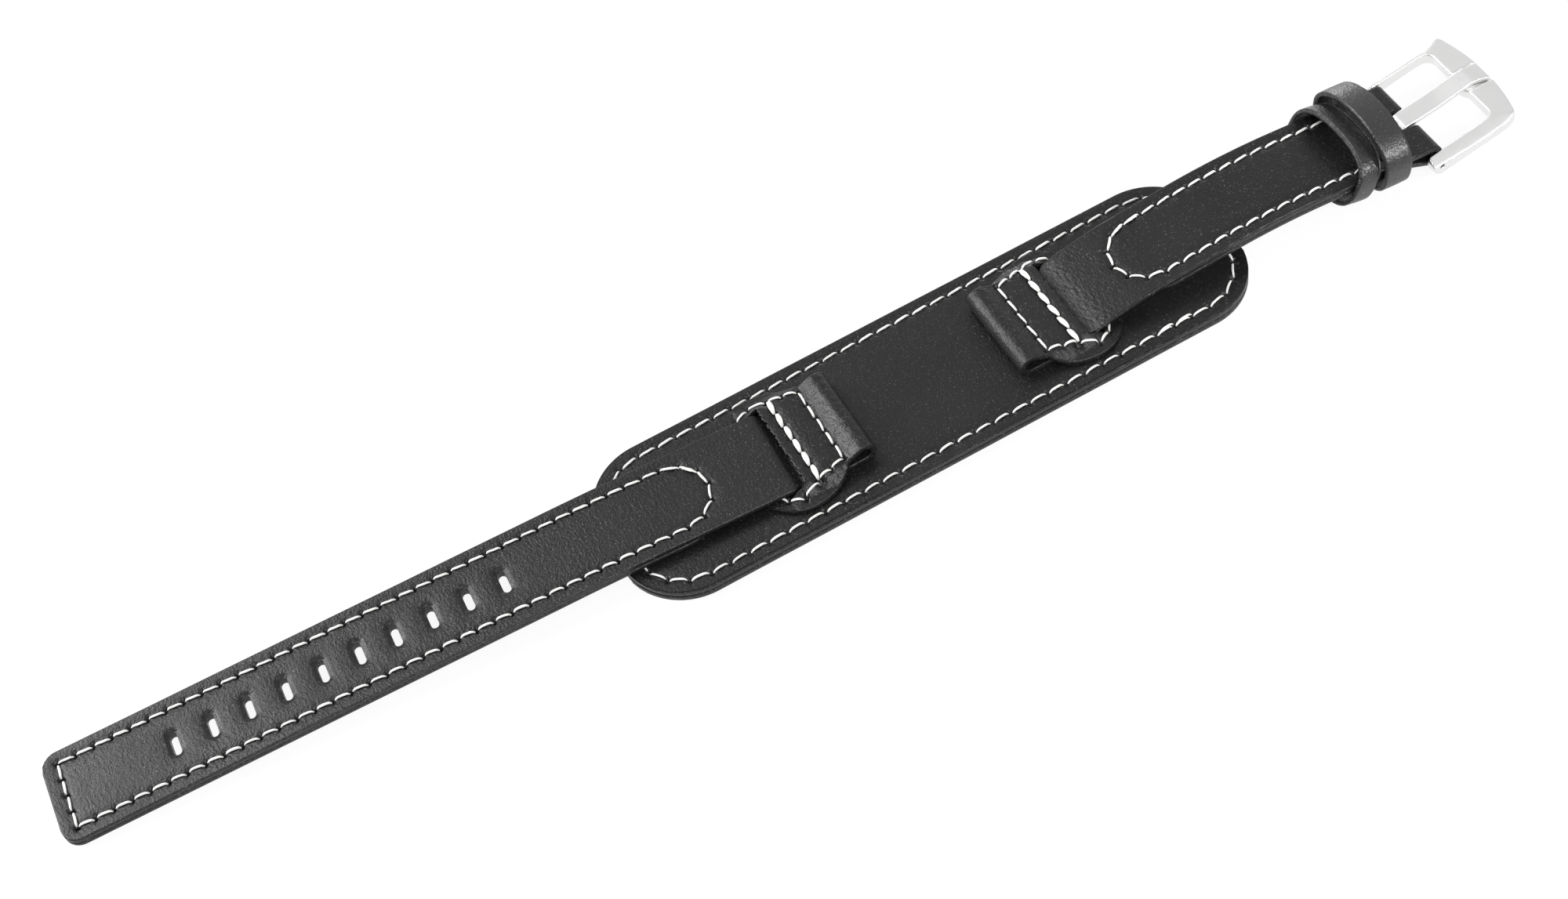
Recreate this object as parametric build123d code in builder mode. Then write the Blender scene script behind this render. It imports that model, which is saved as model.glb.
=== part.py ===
from build123d import *
import os
from math import acos, asin, atan2, cos, degrees, pi, radians, sin

# A bund watch strap laid out flat: a stitched leather pad with two folded tabs, a long
# perforated strap, a short strap with two keepers, and a pin buckle on a spring bar.
# Millimetres. X runs along the pad towards the buckle, Z is up, and the origin is the
# centre of the pad's underside. A u is a distance along a strap from its hinge.

os.makedirs("parts", exist_ok=True)

# Leather and thread
pad_leather = 1.0
strap_leather = 0.9
reinforcement = 0.2
pad_lining_thickness = 1.0
strap_lining_thickness = 0.8
tab_leather = 1.0
thread_width = 0.5
thread_rise = 0.3
thread_bite = 0.15
stitch_length = 2.2
stitch_clearance = 0.02
overrun = 20.0
surface_steps = 4

# The pad
pad_length = 111.0
pad_width = 30.0
pad_corner_radius = 11.0
pad_reinforcement_inset = 0.3
pad_seam_inset = 2.2
pad_stitch_pitch = 3.31

# The folded tabs that hold the watch and the straps
tunnel_axis_x = 14.9
tunnel_radius = 1.0
tab_width = 16.8
crease_x = 17.4
slot_edge_x = 25.1
strip_landing_x = 28.2
tongue_start_x = 27.2
tongue_centre_x = 25.5
tongue_half_length = 8.3
tongue_half_width = 11.8
flare_start_x = 17.7
box_seam_x = 18.2
box_seam_half = 7.5
heavy_seam_x = 23.1
heavy_seam_half = 8.7
heavy_seam_spacing = 0.62
tongue_seam_inset = 1.85
tab_stitch_pitch = 3.0
tail_end_x = 17.5
tail_gap = 0.5
tail_width = 15.4

# The hinge of each strap at its slot, where the real leather bends
hinge_x = 26.8
hinge_height = 3.9
hinge_clearance = 0.05
lip_start_u = -1.2
lip_width = 16.4

# Both straps
strap_width = 16.4
strap_seam_inset = 2.2
strap_stitch_pitch = 2.95
lining_end_margin = 1.2

# The long strap
long_yaw = 3.1
long_length = 119.8
long_tip_height = 1.9
long_bend_u = 30.0
long_bend_height = 4.5
long_bend_radius = 400.0
long_turn_u = 10.9
long_tip_corner_radius = 2.8
long_end_seam_inset = 2.5
hole_count = 10
hole_pitch = 6.04
hole_across = 4.2
hole_along = 1.3
first_hole_from_tip = 19.9

# The short strap, which rises from its slot, crowns and comes down to the buckle
rise_x = 36.5
rise_height = 6.35
rise_radius = 40.0
crown_x = 60.0
crown_radius = 110.0
fall_angle = 6.3
short_turn_x = 35.0
short_seam_end_x = 83.2
lining_stop_x = 79.0

# The spring bar and the leather loop round it
bar_x = 90.2
bar_height = 2.9
loop_clearance = 0.2
pocket_length = 5.7
notch_width = 4.4
notch_start_x = 88.0
bar_radius = 0.75
bar_wall = 0.25
bar_crimp = 0.25
bar_tube_length = 13.6
pin_shank_radius = 0.3
pin_flange_radius = 0.6
pin_flange_thickness = 0.5
pin_tip_radius = 0.4
pin_tip_reach = 1.0
pin_head_radius = 0.45
pin_head_length = 1.0
pin_travel = 1.2
pin_clearance = 0.05
spring_wire_radius = 0.12
spring_radius = 0.35
spring_turns = 12

# The keepers
keeper_leather = 0.8
floating_edge_x = 74.62
floating_tilt = 27.7
floating_half_width = 9.3
floating_bottom = 0.48
floating_top = 11.24
floating_width = 4.0
floating_run_angle = 15.0
floating_upper_roundness = 2.5
floating_lower_roundness = 3.2
fixed_edge_x = 79.7
fixed_tilt = 5.4
fixed_half_width = 10.05
fixed_bottom = 0.77
fixed_top = 12.67
fixed_width = 5.0
fixed_upper_roundness = 2.0
fixed_lower_roundness = 3.5
keeper_outline_points = 24

# The buckle, drawn on an axis that rises from the spring bar to the front
buckle_tilt = 9.7
leg_clearance = 0.4
leg_end_radius = 1.6
leg_outer_half = 10.8
shoulder_half = 10.95
shoulder_x = 11.0
shoulder_bow = 0.15
corner_x = 14.8
corner_half = 9.3
front_x = 16.15
opening_x = 11.35
opening_half = 8.45
opening_corner_radius = 1.6
frame_crown_x = 7.0
frame_crown_top = 1.5
frame_crown_bottom = -1.05
frame_front_x = 14.0
frame_front_top = 0.95
frame_front_bottom = -1.25
frame_nose_top = 0.4
frame_dome_half = 11.2
frame_dome_top = 2.4
frame_dome_edge = 0.53
seat_width = 4.4
seat_clearance = 0.06
seat_lip_radius = 2.8
seat_lip_reach = 0.8

# The buckle's tongue
tongue_width = 3.5
tongue_thickness = 0.9
tongue_clearance = 0.05
tongue_bend_x = 6.5
tongue_bend_height = 1.15
tongue_peak_x = 12.9
tongue_peak_height = 1.6
tongue_tip_x = 15.7
tongue_tip_height = 0.38
tongue_bend_radius = 12.0
tongue_peak_radius = 1.2
tongue_tip_width = 3.8
tongue_flare_x = 13.6
eye_end = 10.0

# Sizes that follow from those above
pad_height = pad_lining_thickness + reinforcement + pad_leather
tunnel_height = pad_height + tab_leather + tunnel_radius
roll_radius = tunnel_radius + tab_leather
flap_top = pad_height + tab_leather
panel_bottom = flap_top + strap_leather
panel_top = panel_bottom + tab_leather
tongue_end_x = tongue_centre_x + tongue_half_length
tongue_sweep = degrees(pi / 2)
strap_thickness = strap_leather + reinforcement + strap_lining_thickness
loop_bore = bar_radius + loop_clearance
loop_radius = loop_bore + strap_leather
leg_inner_half = strap_width / 2 + leg_clearance
tongue_bore = bar_radius + tongue_clearance
tongue_eye_radius = tongue_bore + tongue_thickness
pin_hole_radius = pin_tip_radius + pin_clearance


def lowered(corners, depth):
    """Corners of a side path moved below it by a depth, with every run kept parallel."""
    moved = []
    for index, corner in enumerate(corners):
        before = corners[max(index - 1, 0)]
        after = corners[min(index + 1, len(corners) - 1)]
        run_in = (Vector(corner) - Vector(before)) if index else (Vector(after) - Vector(corner))
        run_out = (Vector(after) - Vector(corner)) if index < len(corners) - 1 else run_in
        normal_in = Vector(-run_in.Y, run_in.X).normalized()
        normal_out = Vector(-run_out.Y, run_out.X).normalized()
        middle = (normal_in + normal_out).normalized()
        place = Vector(corner) - middle * (depth / middle.dot(normal_in))
        moved.append((place.X, place.Y))
    return moved


def lowered_radii(corners, radii, depth):
    """Bend radii of the lowered path: larger where the path turns up, smaller where down."""
    moved = []
    for index, radius in enumerate(radii):
        run_in = Vector(corners[index + 1]) - Vector(corners[index])
        run_out = Vector(corners[index + 2]) - Vector(corners[index + 1])
        moved.append(radius + depth if run_in.cross(run_out).Z > 0 else radius - depth)
    return moved


def bent_line(corners, radii, depth=0):
    """The side path at a depth, as one line with rounded bends."""
    with BuildLine() as path:
        FilletPolyline(*lowered(corners, depth), radius=lowered_radii(corners, radii, depth))
    return path.wire()


def layer_section(plane, corners, radii, upper_depth, lower_depth):
    """The side view of one leather layer between two depths below a strap's face."""
    upper = bent_line(corners, radii, upper_depth)
    lower = bent_line(corners, radii, lower_depth)
    with BuildSketch(plane) as section:
        with BuildLine() as outline:
            add(upper)
            add(lower)
            Line(upper @ 0, lower @ 0)
            Line(upper @ 1, lower @ 1)
        make_face(outline.edges())
    return section.sketch


def surface_at(surface, reach):
    """The point and the slope of a side line where it passes a distance along the plan."""
    length = reach - (surface @ 0).X
    for _ in range(surface_steps):
        point = surface.position_at(length, PositionMode.LENGTH)
        slope = surface.tangent_at(length, PositionMode.LENGTH)
        length += (reach - point.X) / slope.X
    return point, slope


def stitch_planes(seam, pitch, surface, base, facing=1):
    """A plane for each stitch of a seam drawn in plan and laid on a surface's side line."""
    planes = []
    for stretch in seam.edges():
        count = max(round(stretch.length / pitch), 1)
        for index in range(count):
            middle = (index + 1 / 2) / count
            place = stretch @ middle
            heading = stretch % middle
            point, slope = surface_at(surface, place.X)
            along = base.x_dir * slope.X + base.z_dir * slope.Y
            across = base.y_dir
            origin = base.origin + base.x_dir * point.X + across * place.Y + base.z_dir * point.Y
            direction = along * heading.X + across * heading.Y
            normal = along.cross(across) * facing
            planes.append(Plane(origin, x_dir=direction, z_dir=normal))
    return planes


def stitch_marks(planes, depth, margin=0):
    """The round-ended footprint of every stitch, sunk into the leather by a depth."""
    with BuildSketch(*[plane.offset(-depth) for plane in planes]) as marks:
        SlotOverall(stitch_length + margin * 2, thread_width + margin * 2)
    return marks.sketch


def loop_outline(half_width, bottom, top, upper_roundness, lower_roundness):
    """Points of a rounded loop whose upper and lower halves swell by their own exponents."""
    middle = (top + bottom) / 2
    half_height = (top - bottom) / 2
    points = []
    for index in range(keeper_outline_points):
        angle = 2 * pi * (index + 1 / 2) / keeper_outline_points
        power = 2 / (upper_roundness if sin(angle) > 0 else lower_roundness)
        across = half_width * abs(cos(angle)) ** power * (1 if cos(angle) > 0 else -1)
        height = half_height * abs(sin(angle)) ** power * (1 if sin(angle) > 0 else -1)
        points.append((across, middle + height))
    return points


# The pad: top leather, reinforcement and lining, cut to one rounded outline.
pad_surface = Edge.make_line((0, pad_height), (pad_length, pad_height))
pad_underside = Edge.make_line((0, 0), (pad_length, 0))
pad_base = Plane((-pad_length / 2, 0, 0), x_dir=(1, 0, 0), z_dir=(0, 0, 1))

with BuildSketch() as pad_seam_line:
    with Locations((pad_length / 2, 0)):
        RectangleRounded(
            pad_length - pad_seam_inset * 2,
            pad_width - pad_seam_inset * 2,
            pad_corner_radius - pad_seam_inset,
        )

pad_top_stitches = stitch_planes(pad_seam_line, pad_stitch_pitch, pad_surface, pad_base)
pad_under_stitches = stitch_planes(pad_seam_line, pad_stitch_pitch, pad_underside, pad_base, -1)

# The seams of one tab, drawn on its side path: the panel, the strips beside the slot and
# the tongue beyond it, sewn down on the pad.
tab_corners = [
    (tail_end_x, panel_top),
    (slot_edge_x, panel_top),
    (strip_landing_x, flap_top),
    (tongue_end_x, flap_top),
]
tab_surface = Wire.make_polygon([Vector(corner) for corner in tab_corners], close=False)
tab_base = Plane((0, 0, 0), x_dir=(1, 0, 0), z_dir=(0, 0, 1))

with BuildLine() as box_seam_line:
    Line((box_seam_x, -box_seam_half), (box_seam_x, box_seam_half))
    Line((box_seam_x, box_seam_half), (heavy_seam_x, heavy_seam_half))
    Line((box_seam_x, -box_seam_half), (heavy_seam_x, -heavy_seam_half))

with BuildLine() as heavy_seam_line:
    for side in (-1, 1):
        row_x = heavy_seam_x + side * heavy_seam_spacing / 2
        Line((row_x, -heavy_seam_half), (row_x, heavy_seam_half))

with BuildLine() as tongue_seam_line:
    EllipticalCenterArc(
        (tongue_centre_x, 0),
        tongue_half_length - tongue_seam_inset,
        tongue_half_width - tongue_seam_inset,
        start_angle=-tongue_sweep,
        arc_size=tongue_sweep * 2,
    )

box_stitches = stitch_planes(box_seam_line, tab_stitch_pitch, tab_surface, tab_base)
heavy_stitches = stitch_planes(heavy_seam_line, tab_stitch_pitch, tab_surface, tab_base)
tongue_stitches = stitch_planes(tongue_seam_line, tab_stitch_pitch, tab_surface, tab_base)

with BuildPart() as pad_lining:
    with BuildSketch():
        RectangleRounded(pad_length, pad_width, pad_corner_radius)
    extrude(amount=pad_lining_thickness)
    extrude(
        stitch_marks(pad_under_stitches, thread_rise, stitch_clearance),
        amount=thread_rise * 2,
        mode=Mode.SUBTRACT,
    )
pad_lining.part.label = "pad_lining"
export_step(pad_lining.part, "parts/pad_lining.step")

with BuildPart() as pad_reinforcement:
    with BuildSketch(Plane.XY.offset(pad_lining_thickness)):
        RectangleRounded(
            pad_length - pad_reinforcement_inset * 2,
            pad_width - pad_reinforcement_inset * 2,
            pad_corner_radius - pad_reinforcement_inset,
        )
    extrude(amount=reinforcement)
pad_reinforcement.part.label = "pad_reinforcement"
export_step(pad_reinforcement.part, "parts/pad_reinforcement.step")

with BuildPart() as pad_top:
    with BuildSketch(Plane.XY.offset(pad_lining_thickness + reinforcement)):
        RectangleRounded(pad_length, pad_width, pad_corner_radius)
    extrude(amount=pad_leather)
    extrude(
        stitch_marks(pad_top_stitches, thread_bite, stitch_clearance),
        amount=thread_rise,
        mode=Mode.SUBTRACT,
    )
pad_top.part.label = "pad_top"
export_step(pad_top.part, "parts/pad_top.step")

with BuildPart() as pad_seam:
    extrude(stitch_marks(pad_top_stitches, thread_bite), amount=thread_rise)
    extrude(stitch_marks(pad_under_stitches, thread_rise), amount=thread_rise)
pad_seam.part.label = "pad_seam"
export_step(pad_seam.part, "parts/pad_seam.step")

# A tab is one strap of leather folded round the lug bar. The fold is a round tunnel, the
# lower ply ends at the slot, and the upper ply runs on beside the slot into a tongue.
crease_angle = degrees(atan2(panel_top - tunnel_height, crease_x - tunnel_axis_x))
crease_reach = Vector(crease_x - tunnel_axis_x, panel_top - tunnel_height).length
leave_angle = radians(crease_angle + degrees(acos(roll_radius / crease_reach)))
roll_leave = (
    tunnel_axis_x + roll_radius * cos(leave_angle),
    tunnel_height + roll_radius * sin(leave_angle),
)
flare_start = (flare_start_x, tab_width / 2)
flare_join = (tongue_centre_x, tongue_half_width)

with BuildPart() as short_tab:
    with BuildSketch(Plane.XZ) as upper_ply:
        with BuildLine():
            Polyline(*tab_corners)
            Polyline(*lowered(tab_corners, tab_leather))
            Line(tab_corners[0], lowered(tab_corners, tab_leather)[0])
            Line(tab_corners[-1], lowered(tab_corners, tab_leather)[-1])
        make_face()
    extrude(amount=tongue_half_width, both=True)
    with BuildSketch(Plane.XY) as tab_outline:
        with BuildLine():
            Line((tail_end_x, -tab_width / 2), (tail_end_x, tab_width / 2))
            Line((tail_end_x, tab_width / 2), flare_start)
            TangentArc(flare_join, flare_start, tangent=(-1, 0))
            EllipticalCenterArc(
                (tongue_centre_x, 0),
                tongue_half_length,
                tongue_half_width,
                start_angle=-tongue_sweep,
                arc_size=tongue_sweep * 2,
            )
            TangentArc(
                (flare_join[0], -flare_join[1]), (flare_start[0], -flare_start[1]), tangent=(-1, 0)
            )
            Line((flare_start[0], -flare_start[1]), (tail_end_x, -tab_width / 2))
        make_face()
    extrude(amount=panel_top, mode=Mode.INTERSECT)
    with BuildSketch(Plane.XY) as slot:
        with Locations((strip_landing_x, 0)):
            Rectangle(strip_landing_x - tail_end_x, tab_width, align=(Align.MAX, Align.CENTER))
    extrude(amount=panel_top, mode=Mode.SUBTRACT)
    with BuildSketch(Plane.XY.offset(pad_height)) as tongue_start:
        with Locations((tongue_start_x, 0)):
            Rectangle(
                strip_landing_x - tongue_start_x, tab_width, align=(Align.MIN, Align.CENTER)
            )
    extrude(amount=tab_leather)
    with BuildSketch(Plane.XZ) as folded_ply:
        with BuildLine():
            Polyline(
                roll_leave,
                (crease_x, panel_top),
                (slot_edge_x, panel_top),
                (slot_edge_x, panel_bottom),
                (tail_end_x, panel_bottom),
                (tail_end_x, flap_top),
                (slot_edge_x, flap_top),
                (slot_edge_x, pad_height),
                (tunnel_axis_x, pad_height),
            )
            ThreePointArc(
                (tunnel_axis_x, pad_height),
                (tunnel_axis_x - roll_radius, tunnel_height),
                roll_leave,
            )
        make_face()
        with Locations((tunnel_axis_x, tunnel_height)):
            Circle(tunnel_radius, mode=Mode.SUBTRACT)
    extrude(amount=tab_width / 2, both=True)
    extrude(
        stitch_marks(box_stitches + heavy_stitches, thread_bite, stitch_clearance),
        amount=thread_rise,
        mode=Mode.SUBTRACT,
    )
    extrude(
        stitch_marks(tongue_stitches, thread_rise, stitch_clearance),
        amount=thread_rise * 2,
        mode=Mode.SUBTRACT,
    )
short_tab.part.label = "short_tab"
export_step(short_tab.part, "parts/short_tab.step")

with BuildPart() as long_tab:
    mirror(short_tab.part, about=Plane.YZ)
long_tab.part.label = "long_tab"
export_step(long_tab.part, "parts/long_tab.step")

with BuildPart() as short_tab_seam:
    extrude(stitch_marks(box_stitches + heavy_stitches, thread_bite), amount=thread_rise)
short_tab_seam.part.label = "short_tab_seam"
export_step(short_tab_seam.part, "parts/short_tab_seam.step")

with BuildPart() as long_tab_seam:
    mirror(short_tab_seam.part, about=Plane.YZ)
long_tab_seam.part.label = "long_tab_seam"
export_step(long_tab_seam.part, "parts/long_tab_seam.step")

with BuildPart() as short_tongue_seam:
    extrude(stitch_marks(tongue_stitches, thread_rise), amount=thread_rise)
short_tongue_seam.part.label = "short_tongue_seam"
export_step(short_tongue_seam.part, "parts/short_tongue_seam.step")

with BuildPart() as long_tongue_seam:
    mirror(short_tongue_seam.part, about=Plane.YZ)
long_tongue_seam.part.label = "long_tongue_seam"
export_step(long_tongue_seam.part, "parts/long_tongue_seam.step")

# The tail of each strap is sewn between the two plies of its tab. The strap turns about a
# line just outside the slot: its end is a half round that sits in a hollow in the tail.
short_side = Plane((0, 0, 0), x_dir=(1, 0, 0), z_dir=(0, -1, 0))
long_along = (-cos(radians(long_yaw)), sin(radians(long_yaw)), 0)
long_across = (sin(radians(long_yaw)), cos(radians(long_yaw)), 0)
long_base = Plane((-hinge_x, 0, 0), x_dir=long_along, z_dir=(0, 0, 1))
long_side = Plane((-hinge_x, 0, 0), x_dir=long_along, z_dir=long_across)
short_hinge_side = Plane((hinge_x, 0, 0), x_dir=(1, 0, 0), z_dir=(0, -1, 0))
hinge_radius = strap_leather / 2
hollow_radius = hinge_radius + hinge_clearance
lip_rise = hinge_height - hinge_radius - flap_top


def tail_section(plane, start_u, end_u):
    """The side view of a strap's tail between two places, with the hollow for the hinge."""
    centre_line = [
        (tail_end_x - hinge_x, panel_bottom),
        (lip_start_u, panel_bottom),
        (lip_start_u / 2, panel_bottom + lip_rise),
        (0, panel_bottom + lip_rise),
    ]
    lower_line = [(u, height - strap_leather) for u, height in centre_line]
    with BuildSketch(plane) as section:
        with BuildLine() as outline:
            Polyline(*centre_line)
            Polyline(*lower_line)
            Line(centre_line[0], lower_line[0])
            Line(centre_line[-1], lower_line[-1])
        make_face(outline.edges())
        with Locations((0, hinge_height)):
            Circle(hollow_radius, mode=Mode.SUBTRACT)
            Rectangle(
                hollow_radius * 2,
                hollow_radius,
                align=(Align.CENTER, Align.MIN),
                mode=Mode.SUBTRACT,
            )
        with Locations((start_u, 0)):
            Rectangle(end_u - start_u, panel_top, align=(Align.MIN, Align.MIN), mode=Mode.INTERSECT)
    return section.sketch


tail_start_u = tail_end_x + tail_gap - hinge_x
neck_end_u = lip_start_u / 2

with BuildPart() as long_strap_anchor:
    extrude(tail_section(long_side, tail_start_u, neck_end_u), amount=tail_width / 2, both=True)
    extrude(tail_section(long_side, neck_end_u, 0), amount=lip_width / 2, both=True)
long_strap_anchor.part.label = "long_strap_anchor"
export_step(long_strap_anchor.part, "parts/long_strap_anchor.step")

with BuildPart() as short_strap_anchor:
    extrude(
        tail_section(short_hinge_side, tail_start_u, neck_end_u), amount=tail_width / 2, both=True
    )
    extrude(tail_section(short_hinge_side, neck_end_u, 0), amount=lip_width / 2, both=True)
short_strap_anchor.part.label = "short_strap_anchor"
export_step(short_strap_anchor.part, "parts/short_strap_anchor.step")

# The long strap runs level over its tab's tongue and the end of the pad, then bends down
# until its tip lies on the table. It turns a little aside from the pad's line.
long_corners = [
    (0, hinge_height + hinge_radius),
    (long_bend_u, long_bend_height),
    (long_length, long_tip_height),
]
long_radii = [long_bend_radius]
long_surface = bent_line(long_corners, long_radii)
long_underside = bent_line(long_corners, long_radii, strap_thickness)
seam_half = strap_width / 2 - strap_seam_inset
long_seam_end = long_length - long_end_seam_inset
long_lining_start = long_turn_u - lining_end_margin


def turned_seam(turn_u, end_u):
    """A seam along both edges of a strap, round in a half turn at one end, straight at the other."""
    centre_u = turn_u + seam_half
    with BuildLine() as seam:
        Line((end_u, seam_half), (centre_u, seam_half))
        ThreePointArc((centre_u, seam_half), (turn_u, 0), (centre_u, -seam_half))
        Line((centre_u, -seam_half), (end_u, -seam_half))
        Line((end_u, -seam_half), (end_u, seam_half))
    return seam


def round_start(plane, start_u, end_u):
    """The plan of a layer that begins with a half round as wide as the strap."""
    with BuildSketch(plane) as plan:
        with Locations((start_u + strap_width / 2, 0)):
            Circle(strap_width / 2)
            Rectangle(end_u - start_u, strap_width, align=(Align.MIN, Align.CENTER))
    return plan.sketch


def square_tip(plane, start_u):
    """The plan of a layer that ends in the long strap's square tip with rounded corners."""
    with BuildSketch(plane) as plan:
        with Locations((long_length, 0)):
            RectangleRounded(
                (long_length - start_u) * 2,
                strap_width,
                long_tip_corner_radius,
                align=(Align.MAX, Align.CENTER),
            )
    return plan.sketch


long_seam_line = turned_seam(long_turn_u, long_seam_end)
long_stitches = stitch_planes(long_seam_line, strap_stitch_pitch, long_surface, long_base)
long_under_stitches = stitch_planes(
    long_seam_line, strap_stitch_pitch, long_underside, long_base, -1
)

with BuildSketch(long_base) as strap_holes:
    with Locations((long_length - first_hole_from_tip, 0)):
        with Locations(*[(-index * hole_pitch, 0) for index in range(hole_count)]):
            SlotOverall(hole_across, hole_along, rotation=90)

with BuildPart() as long_strap_top:
    extrude(
        layer_section(long_side, long_corners, long_radii, 0, strap_leather),
        amount=strap_width / 2,
        both=True,
    )
    with BuildSketch(long_side):
        with Locations((0, hinge_height)):
            Circle(hinge_radius)
    extrude(amount=strap_width / 2, both=True)
    extrude(square_tip(long_base, -overrun), amount=overrun, mode=Mode.INTERSECT)
    extrude(strap_holes.sketch, amount=overrun, mode=Mode.SUBTRACT)
    extrude(
        stitch_marks(long_stitches, thread_bite, stitch_clearance),
        amount=thread_rise,
        mode=Mode.SUBTRACT,
    )
long_strap_top.part.label = "long_strap_top"
export_step(long_strap_top.part, "parts/long_strap_top.step")

with BuildPart() as long_strap_reinforcement:
    extrude(
        layer_section(
            long_side, long_corners, long_radii, strap_leather, strap_leather + reinforcement
        ),
        amount=strap_width / 2,
        both=True,
    )
    extrude(square_tip(long_base, -overrun), amount=overrun, mode=Mode.INTERSECT)
    extrude(
        round_start(long_base, long_lining_start, long_length + overrun),
        amount=overrun,
        mode=Mode.INTERSECT,
    )
    extrude(strap_holes.sketch, amount=overrun, mode=Mode.SUBTRACT)
long_strap_reinforcement.part.label = "long_strap_reinforcement"
export_step(long_strap_reinforcement.part, "parts/long_strap_reinforcement.step")

with BuildPart() as long_strap_lining:
    extrude(
        layer_section(
            long_side, long_corners, long_radii, strap_leather + reinforcement, strap_thickness
        ),
        amount=strap_width / 2,
        both=True,
    )
    extrude(square_tip(long_base, -overrun), amount=overrun, mode=Mode.INTERSECT)
    extrude(
        round_start(long_base, long_lining_start, long_length + overrun),
        amount=overrun,
        mode=Mode.INTERSECT,
    )
    extrude(strap_holes.sketch, amount=overrun, mode=Mode.SUBTRACT)
    extrude(
        stitch_marks(long_under_stitches, thread_rise, stitch_clearance),
        amount=thread_rise * 2,
        mode=Mode.SUBTRACT,
    )
long_strap_lining.part.label = "long_strap_lining"
export_step(long_strap_lining.part, "parts/long_strap_lining.step")

with BuildPart() as long_strap_seam:
    extrude(stitch_marks(long_stitches, thread_bite), amount=thread_rise)
    extrude(stitch_marks(long_under_stitches, thread_rise), amount=thread_rise)
long_strap_seam.part.label = "long_strap_seam"
export_step(long_strap_seam.part, "parts/long_strap_seam.step")

# The short strap rises out of its slot, crowns and falls straight to the spring bar. Its
# face leaves the hinge along a line that touches the hinge's round.
short_base = Plane((0, 0, 0), x_dir=(1, 0, 0), z_dir=(0, 0, 1))
rise_reach = Vector(rise_x - hinge_x, rise_height - hinge_height)
rise_angle = atan2(rise_reach.Y, rise_reach.X) - asin(hinge_radius / rise_reach.length)
fall = Vector(cos(radians(fall_angle)), -sin(radians(fall_angle)))
fall_normal = Vector(sin(radians(fall_angle)), cos(radians(fall_angle)))
bar_axis = Vector(bar_x, bar_height)
loop_top = bar_axis + fall_normal * loop_radius
crown_height = loop_top.Y + (crown_x - loop_top.X) * fall.Y / fall.X
short_corners = [
    (hinge_x - hinge_radius * sin(rise_angle), hinge_height + hinge_radius * cos(rise_angle)),
    (rise_x, rise_height),
    (crown_x, crown_height),
    (loop_top.X, loop_top.Y),
]
short_radii = [rise_radius, crown_radius]
short_surface = bent_line(short_corners, short_radii)
short_underside = bent_line(short_corners, short_radii, strap_thickness)
short_seam_line = turned_seam(short_turn_x, short_seam_end_x)
short_stitches = stitch_planes(
    short_seam_line, strap_stitch_pitch, short_surface, short_base
)
short_under_stitches = stitch_planes(
    short_seam_line, strap_stitch_pitch, short_underside, short_base, -1
)

# Past the bar the leather turns back under itself and closes behind a pocket for the bar.
pocket_half_angle = asin(loop_bore / pocket_length)
return_angle = radians(fall_angle) + pocket_half_angle * 2
pocket_angle = radians(fall_angle) + pocket_half_angle
return_run = Vector(cos(return_angle), -sin(return_angle))
return_normal = Vector(sin(return_angle), cos(return_angle))
pocket_end = bar_axis - Vector(cos(pocket_angle), -sin(pocket_angle)) * pocket_length
loop_front = bar_axis + Vector(cos(pocket_angle), -sin(pocket_angle)) * loop_radius
loop_bottom = bar_axis - return_normal * loop_radius
return_depth = (loop_top - loop_bottom).dot(fall_normal)
return_length = (return_depth - strap_thickness) / sin(pocket_half_angle * 2)
return_meets = loop_bottom - return_run * return_length
stop_back = (loop_top.X - lining_stop_x) / cos(radians(fall_angle))
stop_top = loop_top - fall * stop_back

with BuildPart() as short_strap_top:
    extrude(
        layer_section(short_side, short_corners, short_radii, 0, strap_leather),
        amount=strap_width / 2,
        both=True,
    )
    with BuildSketch(short_side):
        with Locations((hinge_x, hinge_height)):
            Circle(hinge_radius)
    extrude(amount=strap_width / 2, both=True)
    with BuildSketch(short_side):
        with BuildLine():
            ThreePointArc(tuple(loop_top)[:2], tuple(loop_front)[:2], tuple(loop_bottom)[:2])
            Polyline(
                tuple(loop_bottom)[:2],
                tuple(return_meets)[:2],
                tuple(stop_top - fall_normal * strap_thickness)[:2],
                tuple(stop_top - fall_normal * (strap_leather / 2))[:2],
                tuple(loop_top - fall_normal * (strap_leather / 2))[:2],
                tuple(loop_top)[:2],
            )
        make_face()
        with BuildLine():
            Polyline(
                tuple(pocket_end)[:2],
                tuple(bar_axis + fall_normal * loop_bore)[:2],
                tuple(bar_axis - return_normal * loop_bore)[:2],
                close=True,
            )
        make_face(mode=Mode.SUBTRACT)
        with Locations(tuple(bar_axis)[:2]):
            Circle(loop_bore, mode=Mode.SUBTRACT)
    extrude(amount=strap_width / 2, both=True)
    with BuildSketch(short_base):
        with Locations((notch_start_x, 0)):
            Rectangle(overrun, notch_width, align=(Align.MIN, Align.CENTER))
    extrude(amount=overrun, mode=Mode.SUBTRACT)
    extrude(
        stitch_marks(short_stitches, thread_bite, stitch_clearance),
        amount=thread_rise,
        mode=Mode.SUBTRACT,
    )
    extrude(
        stitch_marks(short_under_stitches, thread_rise, stitch_clearance),
        amount=thread_rise * 2,
        mode=Mode.SUBTRACT,
    )
short_strap_top.part.label = "short_strap_top"
export_step(short_strap_top.part, "parts/short_strap_top.step")

short_lining_start = short_turn_x - lining_end_margin

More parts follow.
